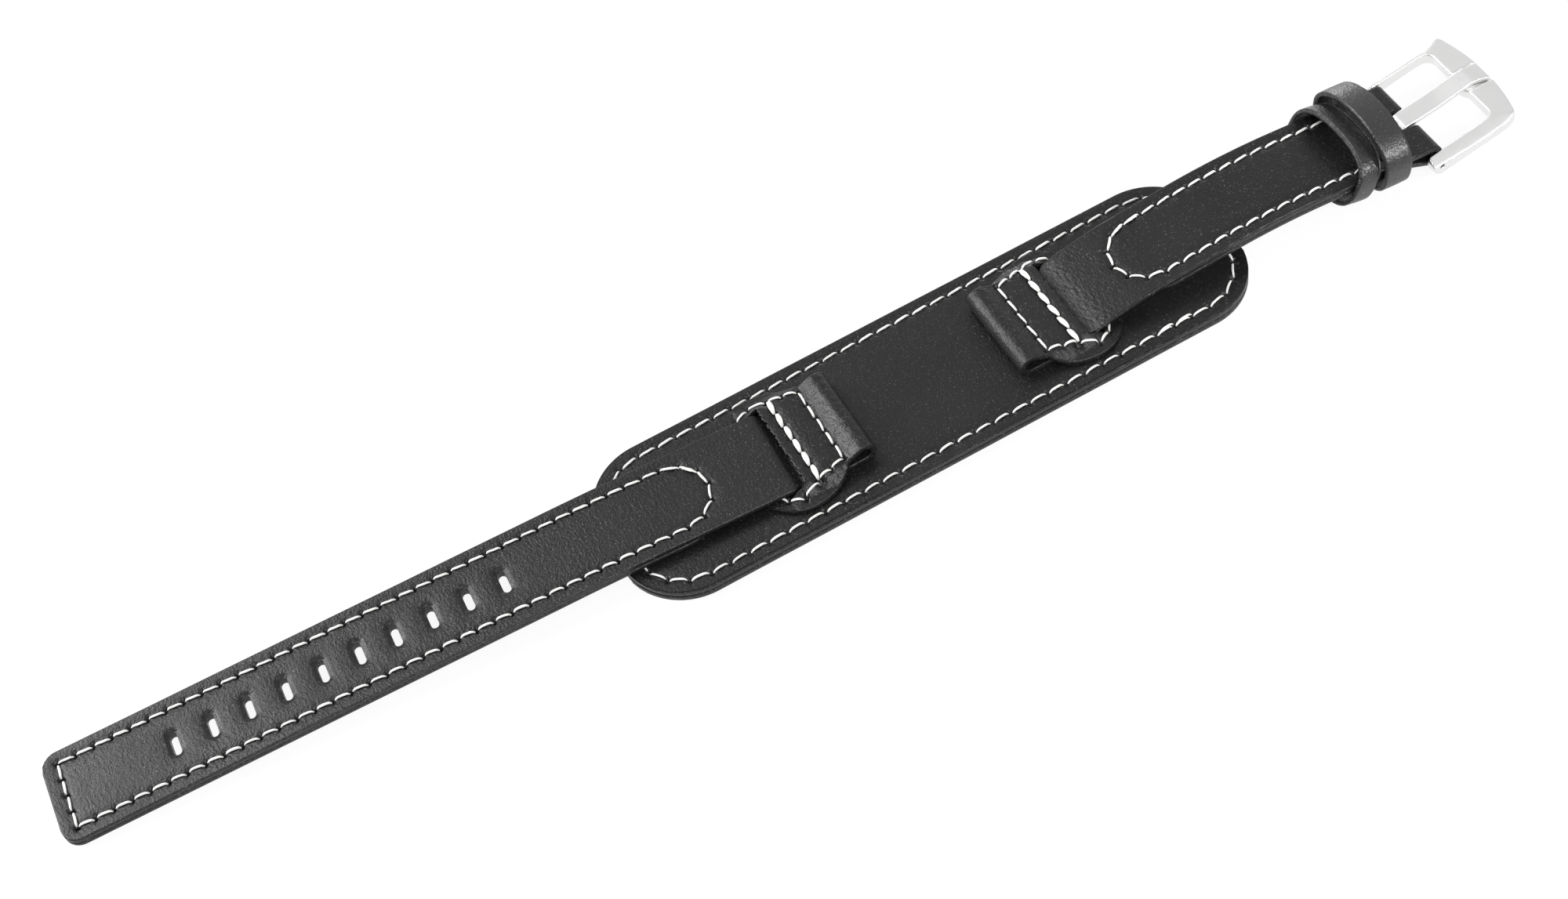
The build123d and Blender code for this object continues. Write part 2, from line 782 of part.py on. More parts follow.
with BuildPart() as short_strap_reinforcement:
    extrude(
        layer_section(
            short_side, short_corners, short_radii, strap_leather, strap_leather + reinforcement
        ),
        amount=strap_width / 2,
        both=True,
    )
    extrude(
        round_start(short_base, short_lining_start, lining_stop_x + overrun),
        amount=overrun,
        mode=Mode.INTERSECT,
    )
    with BuildSketch(short_side):
        with Locations(Location(tuple(stop_top)[:2], -fall_angle)):
            Rectangle(overrun, overrun, align=(Align.MIN, Align.CENTER))
    extrude(amount=strap_width, both=True, mode=Mode.SUBTRACT)
short_strap_reinforcement.part.label = "short_strap_reinforcement"
export_step(short_strap_reinforcement.part, "parts/short_strap_reinforcement.step")

with BuildPart() as short_strap_lining:
    extrude(
        layer_section(
            short_side, short_corners, short_radii, strap_leather + reinforcement, strap_thickness
        ),
        amount=strap_width / 2,
        both=True,
    )
    extrude(
        round_start(short_base, short_lining_start, lining_stop_x + overrun),
        amount=overrun,
        mode=Mode.INTERSECT,
    )
    with BuildSketch(short_side):
        with Locations(Location(tuple(stop_top)[:2], -fall_angle)):
            Rectangle(overrun, overrun, align=(Align.MIN, Align.CENTER))
    extrude(amount=strap_width, both=True, mode=Mode.SUBTRACT)
    extrude(
        stitch_marks(short_under_stitches, thread_rise, stitch_clearance),
        amount=thread_rise * 2,
        mode=Mode.SUBTRACT,
    )
short_strap_lining.part.label = "short_strap_lining"
export_step(short_strap_lining.part, "parts/short_strap_lining.step")

with BuildPart() as short_strap_seam:
    extrude(stitch_marks(short_stitches, thread_bite), amount=thread_rise)
    extrude(stitch_marks(short_under_stitches, thread_rise), amount=thread_rise)
short_strap_seam.part.label = "short_strap_seam"
export_step(short_strap_seam.part, "parts/short_strap_seam.step")

# The keepers are closed leather loops round the short strap. The floating one leans its
# top towards the buckle and reaches a little way into the larger fixed one.


def keeper_plane(edge_x, bottom, top, tilt):
    """The plane of a keeper's slot-side edge, leaning towards the buckle by its tilt."""
    middle = (bottom + top) / 2
    lean = radians(tilt)
    return Plane((edge_x, 0, middle), x_dir=(0, 1, 0), z_dir=(cos(lean), 0, -sin(lean)))


def keeper_section(plane, half_width, height, upper_roundness, lower_roundness):
    """A keeper's ring of leather, drawn about the middle of its plane."""
    half_height = height / 2
    outer = loop_outline(half_width, -half_height, half_height, upper_roundness, lower_roundness)
    inner = loop_outline(
        half_width - keeper_leather,
        keeper_leather - half_height,
        half_height - keeper_leather,
        upper_roundness,
        lower_roundness,
    )
    with BuildSketch(plane) as ring:
        with BuildLine() as outer_line:
            Spline(*outer, periodic=True)
        make_face(outer_line.edges())
        with BuildLine() as inner_line:
            Spline(*inner, periodic=True)
        make_face(inner_line.edges(), mode=Mode.SUBTRACT)
    return ring.sketch


with BuildPart() as floating_keeper:
    extrude(
        keeper_section(
            keeper_plane(floating_edge_x, floating_bottom, floating_top, floating_tilt),
            floating_half_width,
            floating_top - floating_bottom,
            floating_upper_roundness,
            floating_lower_roundness,
        ),
        amount=floating_width,
        dir=(cos(radians(floating_run_angle)), 0, -sin(radians(floating_run_angle))),
    )
floating_keeper.part.label = "floating_keeper"
export_step(floating_keeper.part, "parts/floating_keeper.step")

with BuildPart() as fixed_keeper:
    extrude(
        keeper_section(
            keeper_plane(fixed_edge_x, fixed_bottom, fixed_top, fixed_tilt),
            fixed_half_width,
            fixed_top - fixed_bottom,
            fixed_upper_roundness,
            fixed_lower_roundness,
        ),
        amount=fixed_width,
    )
fixed_keeper.part.label = "fixed_keeper"
export_step(fixed_keeper.part, "parts/fixed_keeper.step")

# The buckle frame: two legs and a front bar, open at the back where the spring bar sits.
rise = radians(buckle_tilt)
bar_point = (bar_x, 0, bar_height)
buckle_plan = Plane(bar_point, x_dir=(cos(rise), 0, sin(rise)), z_dir=(-sin(rise), 0, cos(rise)))
buckle_side = Plane(bar_point, x_dir=(cos(rise), 0, sin(rise)), z_dir=(0, -1, 0))
buckle_front = Plane(bar_point, x_dir=(0, 1, 0), z_dir=(cos(rise), 0, sin(rise)))
tongue_corners = [
    (0, (tongue_bore + tongue_eye_radius) / 2),
    (tongue_bend_x, tongue_bend_height),
    (tongue_peak_x, tongue_peak_height),
    (tongue_tip_x, tongue_tip_height),
]
tongue_radii = [tongue_bend_radius, tongue_peak_radius]
seat_depth = tongue_thickness / 2 + seat_clearance
leg_bow_x = shoulder_x / 2
leg_bow_half = (leg_outer_half + shoulder_half) / 2 + shoulder_bow

with BuildPart() as buckle_frame:
    with BuildSketch(buckle_plan) as frame_plan:
        with BuildLine():
            for side in (-1, 1):
                Line((-leg_end_radius, 0), (-leg_end_radius, side * leg_outer_half))
                Line((-leg_end_radius, side * leg_outer_half), (0, side * leg_outer_half))
                ThreePointArc(
                    (0, side * leg_outer_half),
                    (leg_bow_x, side * leg_bow_half),
                    (shoulder_x, side * shoulder_half),
                )
                Spline(
                    (shoulder_x, side * shoulder_half),
                    (corner_x, side * corner_half),
                    tangents=((1, 0), ((front_x - corner_x) * 2, -side * corner_half)),
                    tangent_scalars=(1, 1),
                )
            ThreePointArc((corner_x, corner_half), (front_x, 0), (corner_x, -corner_half))
        make_face()
        with BuildLine():
            Polyline(
                (-overrun, leg_inner_half),
                (0, leg_inner_half),
                (opening_x, opening_half),
                (opening_x, -opening_half),
                (0, -leg_inner_half),
                (-overrun, -leg_inner_half),
                close=True,
            )
        make_face(mode=Mode.SUBTRACT)
        fillet(
            frame_plan.vertices().filter_by_position(
                Axis.X, opening_x - seat_clearance, opening_x + seat_clearance
            ),
            opening_corner_radius,
        )
        with Locations((opening_x + seat_lip_radius - seat_lip_reach, 0)):
            Circle(seat_lip_radius)
    extrude(amount=leg_end_radius, both=True)
    with BuildSketch(buckle_side) as frame_side:
        with BuildLine():
            Spline(
                (0, leg_end_radius),
                (frame_crown_x, frame_crown_top),
                (frame_front_x, frame_front_top),
                (front_x, frame_nose_top),
            )
            Line((front_x, frame_nose_top), (front_x, frame_front_bottom))
            Line((front_x, frame_front_bottom), (frame_front_x, frame_front_bottom))
            Spline(
                (frame_front_x, frame_front_bottom),
                (frame_crown_x, frame_crown_bottom),
                (0, -leg_end_radius),
            )
            ThreePointArc((0, -leg_end_radius), (-leg_end_radius, 0), (0, leg_end_radius))
        make_face()
    extrude(amount=shoulder_half * 2, both=True, mode=Mode.INTERSECT)
    with BuildSketch(buckle_front):
        with BuildLine():
            ThreePointArc(
                (-frame_dome_half, frame_dome_edge),
                (0, frame_dome_top),
                (frame_dome_half, frame_dome_edge),
            )
            Line((frame_dome_half, frame_dome_edge), (frame_dome_half, -overrun))
            Line((frame_dome_half, -overrun), (-frame_dome_half, -overrun))
            Line((-frame_dome_half, -overrun), (-frame_dome_half, frame_dome_edge))
        make_face()
    extrude(amount=front_x * 2, both=True, mode=Mode.INTERSECT)
    with BuildSketch(buckle_side):
        Circle(pin_hole_radius)
    extrude(amount=shoulder_half * 2, both=True, mode=Mode.SUBTRACT)
    seat_floor = bent_line(tongue_corners, tongue_radii, seat_depth)
    with BuildSketch(buckle_side):
        with BuildLine() as seat_outline:
            add(seat_floor)
            Line(seat_floor @ 1, seat_floor @ 1 + Vector(overrun, 0))
            Line(seat_floor @ 1 + Vector(overrun, 0), seat_floor @ 1 + Vector(overrun, overrun))
            Line(seat_floor @ 1 + Vector(overrun, overrun), seat_floor @ 0 + Vector(0, overrun))
            Line(seat_floor @ 0 + Vector(0, overrun), seat_floor @ 0)
        make_face(seat_outline.edges())
    extrude(amount=seat_width / 2, both=True, mode=Mode.SUBTRACT)
buckle_frame.part.label = "buckle_frame"
export_step(buckle_frame.part, "parts/buckle_frame.step")

# The tongue: a strip rolled into an eye round the spring bar, bent over the front bar and
# a little wider at its tip.
eye_end_angle = radians(eye_end)
eye_end_outer = (tongue_eye_radius * cos(eye_end_angle), tongue_eye_radius * sin(eye_end_angle))
eye_end_inner = (tongue_bore * cos(eye_end_angle), tongue_bore * sin(eye_end_angle))
tongue_upper = bent_line(tongue_corners, tongue_radii, -tongue_thickness / 2)
tongue_lower = bent_line(tongue_corners, tongue_radii, tongue_thickness / 2)

with BuildPart() as buckle_tongue:
    with BuildSketch(buckle_side):
        with BuildLine() as tongue_side:
            add(tongue_upper)
            add(tongue_lower)
            Line(tongue_upper @ 1, tongue_lower @ 1)
            ThreePointArc(tongue_upper @ 0, (-tongue_eye_radius, 0), eye_end_outer)
            ThreePointArc(tongue_lower @ 0, (-tongue_bore, 0), eye_end_inner)
            Line(eye_end_outer, eye_end_inner)
        make_face(tongue_side.edges())
    extrude(amount=tongue_tip_width / 2, both=True)
    with BuildSketch(buckle_plan):
        with BuildLine():
            for side in (-1, 1):
                Polyline(
                    (-overrun, side * tongue_width / 2),
                    (tongue_flare_x, side * tongue_width / 2),
                    (tongue_tip_x, side * tongue_tip_width / 2),
                    (overrun, side * tongue_tip_width / 2),
                )
            Line((-overrun, -tongue_width / 2), (-overrun, tongue_width / 2))
            Line((overrun, -tongue_tip_width / 2), (overrun, tongue_tip_width / 2))
        make_face()
    extrude(amount=overrun, both=True, mode=Mode.INTERSECT)
buckle_tongue.part.label = "buckle_tongue"
export_step(buckle_tongue.part, "parts/buckle_tongue.step")

# The spring bar: a tube crimped at both ends over two sprung pins.
bar_start = Plane(bar_point, x_dir=(1, 0, 0), z_dir=(0, 1, 0))
tube_half = bar_tube_length / 2
bar_bore = bar_radius - bar_wall
crimp_bore = pin_shank_radius + pin_clearance

with BuildPart() as bar_tube:
    with BuildSketch(bar_start):
        Circle(bar_radius)
        Circle(crimp_bore, mode=Mode.SUBTRACT)
    extrude(amount=tube_half, both=True)
    with BuildSketch(bar_start):
        Circle(bar_bore)
    extrude(amount=tube_half - bar_crimp, both=True, mode=Mode.SUBTRACT)
bar_tube.part.label = "bar_tube"
export_step(bar_tube.part, "parts/bar_tube.step")

pin_tip_start = leg_inner_half - pin_clearance
pin_flange_start = pin_tip_start - pin_flange_thickness
pin_head_end = tube_half - bar_crimp - pin_clearance
pin_head_start = pin_head_end - pin_head_length
pin_end = pin_tip_start + pin_tip_reach
pin_spans = (
    (pin_head_radius, pin_head_start, pin_head_end),
    (pin_shank_radius, pin_head_end, pin_flange_start),
    (pin_flange_radius, pin_flange_start, pin_tip_start),
    (pin_tip_radius, pin_tip_start, pin_end),
)

with BuildPart() as bar_pin_far:
    for span_radius, span_start, span_end in pin_spans:
        with BuildSketch(bar_start.offset(span_start)):
            Circle(span_radius)
        extrude(amount=span_end - span_start)
bar_pin_far.part.label = "bar_pin_far"
export_step(bar_pin_far.part, "parts/bar_pin_far.step")

with BuildPart() as bar_pin_near:
    mirror(bar_pin_far.part, about=Plane.XZ)
bar_pin_near.part.label = "bar_pin_near"
export_step(bar_pin_near.part, "parts/bar_pin_near.step")

# The spring is drawn as short as both pins can press it.
spring_length = (pin_head_start - pin_travel - pin_clearance) * 2 - spring_wire_radius * 2

with BuildPart() as bar_spring:
    with BuildLine() as coil_line:
        Helix(
            spring_length / spring_turns,
            spring_length,
            spring_radius,
            center=(bar_x, -spring_length / 2, bar_height),
            direction=(0, 1, 0),
        )
    with BuildSketch(Plane(coil_line.line @ 0, z_dir=coil_line.line % 0)):
        Circle(spring_wire_radius)
    sweep(path=coil_line.line, is_frenet=True)
bar_spring.part.label = "bar_spring"
export_step(bar_spring.part, "parts/bar_spring.step")
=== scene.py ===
import itertools
import math

import bpy
import numpy as np
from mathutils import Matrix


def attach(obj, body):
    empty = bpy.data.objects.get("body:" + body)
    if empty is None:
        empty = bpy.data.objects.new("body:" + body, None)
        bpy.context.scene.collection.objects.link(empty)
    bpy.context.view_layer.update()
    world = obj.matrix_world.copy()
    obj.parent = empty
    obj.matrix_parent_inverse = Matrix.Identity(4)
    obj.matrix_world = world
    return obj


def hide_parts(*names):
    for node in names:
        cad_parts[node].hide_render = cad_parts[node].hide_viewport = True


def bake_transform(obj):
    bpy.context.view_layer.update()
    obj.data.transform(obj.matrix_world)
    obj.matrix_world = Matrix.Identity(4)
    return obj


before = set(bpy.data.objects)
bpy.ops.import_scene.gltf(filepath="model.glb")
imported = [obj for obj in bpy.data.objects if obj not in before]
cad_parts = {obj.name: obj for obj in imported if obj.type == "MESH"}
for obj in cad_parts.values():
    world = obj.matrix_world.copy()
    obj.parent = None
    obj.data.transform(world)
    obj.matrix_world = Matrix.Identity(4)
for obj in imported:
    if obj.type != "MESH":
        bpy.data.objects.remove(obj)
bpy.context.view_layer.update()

# The studio: a pale floor under soft boxes and a white sky, seen from the near left above.
# Both show as white, the sky dimmer in gloss on the near side, and the floor keeps the shadow.
mm = 0.001
camera_data = bpy.data.cameras.new("camera")
camera_data.lens = 56.868
camera_data.sensor_width = 36.0
camera = bpy.data.objects.new("camera", camera_data)
camera.location = (-0.087682, -0.215279, 0.313877)
camera.rotation_euler = [math.radians(angle) for angle in (34.97586, 8.44306, -28.13003)]
bpy.context.scene.collection.objects.link(camera)
bpy.context.scene.camera = camera
bpy.context.scene.view_settings.view_transform = "Standard"


def node_of(nodes, kind, values=()):
    """A new shader node with some of its inputs set."""
    node = nodes.new("ShaderNode" + kind)
    for socket, value in dict(values).items():
        node.inputs[socket].default_value = value
    return node


def shown_white(nodes, links):
    """One where a ray comes from the eye, a gloss or a glass, and nought for light."""
    path = node_of(nodes, "LightPath")
    shown = path.outputs["Is Camera Ray"]
    for ray in ("Is Glossy Ray", "Is Transmission Ray"):
        either = node_of(nodes, "Math")
        either.operation = "MAXIMUM"
        links.new(shown, either.inputs[0])
        links.new(path.outputs[ray], either.inputs[1])
        shown = either.outputs[0]
    return shown


white = (1, 1, 1, 1)
sky = bpy.data.worlds.new("sky")
sky.use_nodes = True
sky_nodes, sky_links = sky.node_tree.nodes, sky.node_tree.links
sky_nodes.clear()
sky_light = node_of(sky_nodes, "Background", {"Color": white, "Strength": 0.55})
sky_seen = node_of(sky_nodes, "Background", {"Color": white})
sky_gloss = node_of(sky_nodes, "Background")
sky_way = node_of(sky_nodes, "TexCoord")
sky_parts = node_of(sky_nodes, "SeparateXYZ")
sky_near = node_of(
    sky_nodes, "MapRange", {"From Min": -0.9, "From Max": 0.5, "To Min": 0.42, "To Max": 1.0}
)
sky_path = node_of(sky_nodes, "LightPath")
sky_gloss_mix = node_of(sky_nodes, "MixShader")
sky_mix = node_of(sky_nodes, "MixShader")
sky_out = node_of(sky_nodes, "OutputWorld")
sky_links.new(sky_way.outputs["Generated"], sky_parts.inputs[0])
sky_links.new(sky_parts.outputs["Y"], sky_near.inputs["Value"])
sky_links.new(sky_near.outputs["Result"], sky_gloss.inputs["Strength"])
sky_links.new(sky_path.outputs["Is Glossy Ray"], sky_gloss_mix.inputs[0])
sky_links.new(sky_seen.outputs[0], sky_gloss_mix.inputs[1])
sky_links.new(sky_gloss.outputs[0], sky_gloss_mix.inputs[2])
sky_links.new(shown_white(sky_nodes, sky_links), sky_mix.inputs[0])
sky_links.new(sky_light.outputs[0], sky_mix.inputs[1])
sky_links.new(sky_gloss_mix.outputs[0], sky_mix.inputs[2])
sky_links.new(sky_mix.outputs[0], sky_out.inputs["Surface"])
bpy.context.scene.world = sky

floor_level, floor_half = -0.00005, 3
floor_mesh = bpy.data.meshes.new("floor")
floor_mesh.from_pydata(
    [(x * floor_half, y * floor_half, floor_level) for x, y in ((-1, -1), (1, -1), (1, 1), (-1, 1))],
    [], [(0, 1, 2, 3)],
)
floor = bpy.data.objects.new("floor", floor_mesh)
bpy.context.scene.collection.objects.link(floor)
floor_paint = bpy.data.materials.new("floor_paint")
floor_paint.use_nodes = True
floor_nodes, floor_links = floor_paint.node_tree.nodes, floor_paint.node_tree.links
floor_matt = floor_nodes["Principled BSDF"]
floor_matt.inputs["Base Color"].default_value = (0.9, 0.9, 0.9, 1)
floor_matt.inputs["Roughness"].default_value = 1.0
floor_glow = node_of(floor_nodes, "Emission", {"Strength": 1.0})
floor_share = node_of(floor_nodes, "Math", {1: 0.9})
floor_share.operation = "MULTIPLY"
floor_mix = node_of(floor_nodes, "MixShader")
floor_links.new(shown_white(floor_nodes, floor_links), floor_share.inputs[0])
floor_links.new(floor_share.outputs[0], floor_mix.inputs[0])
floor_links.new(floor_matt.outputs[0], floor_mix.inputs[1])
floor_links.new(floor_glow.outputs[0], floor_mix.inputs[2])
floor_links.new(floor_mix.outputs[0], floor_nodes["Material Output"].inputs["Surface"])
floor_mesh.materials.append(floor_paint)


def soft_box(name, place, aim, size, power, cone=None):
    """A studio light at a place in metres, facing a point: square, or a cone of some degrees."""
    if cone:
        lamp = bpy.data.lights.new(name, "SPOT")
        lamp.spot_size = math.radians(cone)
        lamp.spot_blend = 0.6
        lamp.shadow_soft_size = size / 2
    else:
        lamp = bpy.data.lights.new(name, "AREA")
        lamp.size = size
    lamp.energy = power
    box = bpy.data.objects.new(name, lamp)
    box.location = place
    facing = np.array(aim) - np.array(place)
    yaw = math.atan2(facing[1], facing[0])
    drop = math.atan2(math.hypot(facing[0], facing[1]), -facing[2])
    box.rotation_euler = (drop, 0, yaw - math.pi / 2)
    bpy.context.scene.collection.objects.link(box)


soft_box("key_box", (0.0, -0.42, 0.5), (0.03, 0, 0), size=0.3, power=3.0)
soft_box("window_box", (-0.29, 0.36, 0.48), (-0.06, 0, 0), size=0.28, power=1.9)
soft_box("left_box", (-0.5, 0.3, 0.3), (0, 0, 0), size=0.25, power=3.0)
soft_box("back_box", (0.34, 0.66, 0.085), (0.06, 0, 0), size=0.15, power=0.8)
soft_box("spark_box", (0.43, -0.44, 0.34), (0.079, -0.004, 0.008), size=0.1, power=50.0, cone=4.0)

# Leather: smooth black calf with a fine grain, a satin sheen and faint scuffs. Its cut edges
# are dyed and burnished, with lighter scuffs that are partly wear and partly a painted highlight
# of the edges catching light, and the lining is the same hide, matt side out.
leather_grain = bpy.data.node_groups.new("leather_grain", "ShaderNodeTree")
for socket_name, socket_kind in (("Place", "NodeSocketVector"), ("Pore Scale", "NodeSocketFloat")):
    leather_grain.interface.new_socket(socket_name, in_out="INPUT", socket_type=socket_kind)
for socket_name in ("Height", "Scuff And Highlight", "Roughness"):
    leather_grain.interface.new_socket(socket_name, in_out="OUTPUT", socket_type="NodeSocketFloat")
grain_nodes, grain_links = leather_grain.nodes, leather_grain.links
grain_in = grain_nodes.new("NodeGroupInput")
grain_out = grain_nodes.new("NodeGroupOutput")
pores = grain_nodes.new("ShaderNodeTexVoronoi")
pores.feature = "SMOOTH_F1"
pores.inputs["Smoothness"].default_value = 0.4
stretch = node_of(grain_nodes, "Mapping", {"Scale": (1.0, 0.45, 1.0)})
wrinkles = node_of(grain_nodes, "TexNoise", {"Scale": 2100.0, "Detail": 3.0, "Roughness": 0.55})
specks = node_of(grain_nodes, "TexNoise", {"Scale": 3600.0, "Detail": 1.0})
patches = node_of(grain_nodes, "TexNoise", {"Scale": 70.0, "Detail": 3.0})
grain_sum = node_of(grain_nodes, "Math", {1: 0.45})
grain_sum.operation = "MULTIPLY_ADD"
rough_span = node_of(
    grain_nodes, "MapRange", {"From Min": 0.3, "From Max": 0.7, "To Min": 0.32, "To Max": 0.44}
)
scuff_and_highlight_span = node_of(grain_nodes, "MapRange", {"From Min": 0.65, "From Max": 0.78})
for texture in (pores, patches, specks, stretch):
    grain_links.new(grain_in.outputs["Place"], texture.inputs["Vector"])
grain_links.new(stretch.outputs[0], wrinkles.inputs["Vector"])
grain_links.new(grain_in.outputs["Pore Scale"], pores.inputs["Scale"])
grain_links.new(pores.outputs["Distance"], grain_sum.inputs[0])
grain_links.new(wrinkles.outputs[0], grain_sum.inputs[2])
grain_links.new(patches.outputs[0], rough_span.inputs["Value"])
grain_links.new(specks.outputs[0], scuff_and_highlight_span.inputs["Value"])
grain_links.new(grain_sum.outputs[0], grain_out.inputs["Height"])
grain_links.new(rough_span.outputs["Result"], grain_out.inputs["Roughness"])
grain_links.new(scuff_and_highlight_span.outputs["Result"], grain_out.inputs["Scuff And Highlight"])


def colour_mix(nodes, first, second):
    """A node that runs from one colour to another."""
    mix = nodes.new("ShaderNodeMix")
    mix.data_type = "RGBA"
    mix.inputs["A"].default_value = (*first, 1)
    mix.inputs["B"].default_value = (*second, 1)
    return mix


def leather(name, colour, worn_and_highlight_colour, pore_scale, bump, specular):
    """A dyed leather: its grain group feeds the colour, the roughness and a bump."""
    hide = bpy.data.materials.new(name)
    hide.use_nodes = True
    nodes, links = hide.node_tree.nodes, hide.node_tree.links
    surface = nodes["Principled BSDF"]
    surface.inputs["Specular IOR Level"].default_value = specular
    where = node_of(nodes, "TexCoord")
    grain = nodes.new("ShaderNodeGroup")
    grain.node_tree = leather_grain
    grain.inputs["Pore Scale"].default_value = pore_scale
    dye_and_highlight = colour_mix(nodes, colour, worn_and_highlight_colour)
    relief = node_of(nodes, "Bump", {"Strength": bump, "Distance": 0.00022})
    links.new(where.outputs["Object"], grain.inputs["Place"])
    links.new(grain.outputs["Scuff And Highlight"], dye_and_highlight.inputs["Factor"])
    links.new(dye_and_highlight.outputs["Result"], surface.inputs["Base Color"])
    links.new(grain.outputs["Roughness"], surface.inputs["Roughness"])
    links.new(grain.outputs["Height"], relief.inputs["Height"])
    links.new(relief.outputs["Normal"], surface.inputs["Normal"])
    return hide


black_leather = leather("black_leather", (0.006, 0.006, 0.0065), (0.09, 0.09, 0.09),
                        pore_scale=3000.0, bump=0.42, specular=0.33)
keeper_hide = leather("keeper_hide", (0.008, 0.008, 0.0085), (0.09, 0.09, 0.09),
                      pore_scale=3000.0, bump=0.38, specular=0.8)
# The cut edges' lighter scuff colour is partly wear and partly a painted highlight of the edges catching
# light.
cut_edge_and_highlight = leather("cut_edge_and_highlight", (0.008, 0.008, 0.008), (0.12, 0.12, 0.118),
                   pore_scale=3800.0, bump=0.6, specular=0.4)
lining_leather = leather("lining_leather", (0.011, 0.011, 0.012), (0.035, 0.035, 0.035),
                         pore_scale=2200.0, bump=0.6, specular=0.25)
stiffener = leather("stiffener", (0.004, 0.004, 0.004), (0.012, 0.012, 0.012),
                    pore_scale=5000.0, bump=0.8, specular=0.1)


def leather_sheet(name, face, normal, thickness, keep=None, wrap=False, dent=0, under_dent=0,
                  edge=0.14, hide=black_leather, rim=cut_edge_and_highlight):
    """A layer of leather from a grid of millimetre points on its face, with rounded cut edges."""
    rows, columns = face.shape[:2]
    upper = face - normal * (np.zeros((rows, columns)) + dent)[..., None]
    lower = face - normal * (np.zeros((rows, columns)) + thickness - under_dent)[..., None]
    count = rows * columns
    index = np.arange(count).reshape(rows, columns)
    if wrap:
        index = np.concatenate([index, index[:, :1]], axis=1)
    cells = np.stack([index[:-1, :-1], index[1:, :-1], index[1:, 1:], index[:-1, 1:]], -1)
    cells = cells.reshape(-1, 4) if keep is None else cells[keep]
    flat, up = upper.reshape(-1, 3), normal.reshape(-1, 3)
    middle = cells[len(cells) // 2]
    turn = np.cross(flat[middle[2]] - flat[middle[0]], flat[middle[3]] - flat[middle[1]])
    if turn @ up[middle[0]] < 0:
        cells = cells[:, ::-1]
    sides = np.concatenate([cells[:, [k, (k + 1) % 4]] for k in range(4)])
    keys = sides.min(1) * count + sides.max(1)
    _, first, times = np.unique(keys, return_index=True, return_counts=True)
    rims = sides[first[times == 1]]
    run = flat[rims[:, 1]] - flat[rims[:, 0]]
    away = np.cross(run, up[rims[:, 0]])
    length = np.linalg.norm(away, axis=1, keepdims=True)
    away = np.where(length > 1e-6, away / np.maximum(length, 1e-6), 0)
    outward = np.zeros((count, 3))
    np.add.at(outward, rims[:, 0], away)
    np.add.at(outward, rims[:, 1], away)
    rim_points = np.unique(rims)
    out = outward[rim_points]
    out /= np.maximum(np.linalg.norm(out, axis=1, keepdims=True), 1e-6)
    top, foot, rise = flat[rim_points], lower.reshape(-1, 3)[rim_points], up[rim_points]
    half = math.sqrt(0.5)
    rings = [
        top - out * edge * (1 - half) - rise * edge * (1 - half),
        top - rise * edge,
        foot + rise * edge,
        foot - out * edge * (1 - half) + rise * edge * (1 - half),
    ]
    upper, lower = flat.copy(), lower.reshape(-1, 3).copy()
    upper[rim_points] -= out * edge
    lower[rim_points] -= out * edge
    points = np.concatenate([upper, lower] + rings)
    slot = np.zeros(count, int)
    slot[rim_points] = np.arange(len(rim_points))
    bands = [rims] + [slot[rims] + count * 2 + len(rim_points) * k for k in range(4)] + [rims + count]
    faces = [cells, cells[:, ::-1] + count]
    faces += [np.stack([a[:, 1], a[:, 0], b[:, 0], b[:, 1]], -1) for a, b in zip(bands, bands[1:])]
    marks = np.concatenate([np.full(len(part), 1 if k > 1 else 0) for k, part in enumerate(faces)])
    used, faces = np.unique(np.concatenate(faces), return_inverse=True)
    mesh = bpy.data.meshes.new(name)
    mesh.from_pydata((points[used] * mm).tolist(), [], faces.reshape(-1, 4).tolist())
    mesh.materials.append(hide)
    mesh.materials.append(rim)
    mesh.polygons.foreach_set("material_index", marks)
    mesh.shade_smooth()
    piece = bpy.data.objects.new(name, mesh)
    bpy.context.scene.collection.objects.link(piece)
    return piece


# The pad: top leather, a thin stiffener set a little back, and a lining, cut to one outline.
# It lies flat, and its rim is pulled in by the seam that runs round it.
pad_half_length = 55.5
pad_half_width = 15.0
pad_corner = 11.0
pad_top_height = 2.2
lining_depth = 1.0
stiffener_depth = 0.2
pad_leather = 1.0


def closing_rows(start, end, fine, step):
    """Places along a line that come closer together at both ends."""
    near = np.cumsum([0, fine, fine * 1.4, fine * 2])
    inner = np.linspace(start + near[-1], end - near[-1], max(round((end - start) / step), 2))
    return np.concatenate([start + near[:-1], inner, end - near[:-1][::-1]])


def round_corner_width(reach, half_width, corner):
    """Half the width of a round-cornered sheet at a distance from its end."""
    short = np.clip(corner - reach, 0, corner)
    return half_width - corner + np.sqrt(np.maximum(corner**2 - short**2, 0))


def stretch_of_line(start, end):
    """A straight part of a seam, as close points."""
    return np.linspace(start, end, 200)


def stretch_of_arc(centre, radius, start, end):
    """A round or oval part of a seam between two angles in degrees, as close points."""
    angle = np.radians(np.linspace(start, end, 200))
    return np.array(centre) + np.stack([np.cos(angle), np.sin(angle)], -1) * radius


def stitches_along(stretches, pitch):
    """The middle, heading and half length of every stitch of a seam."""
    found = []
    for line in stretches:
        run = np.concatenate([[0], np.cumsum(np.linalg.norm(np.diff(line, axis=0), axis=1))])
        number = max(round(run[-1] / pitch), 1)
        for k in range(number):
            ends = [np.array([np.interp((k + side) * run[-1] / number, run, line[:, axis])
                              for axis in (0, 1)]) for side in (0, 1)]
            span = np.linalg.norm(ends[1] - ends[0])
            found.append((*(ends[0] + ends[1]) / 2, *(ends[1] - ends[0]) / span, span / 2))
    return np.array(found)


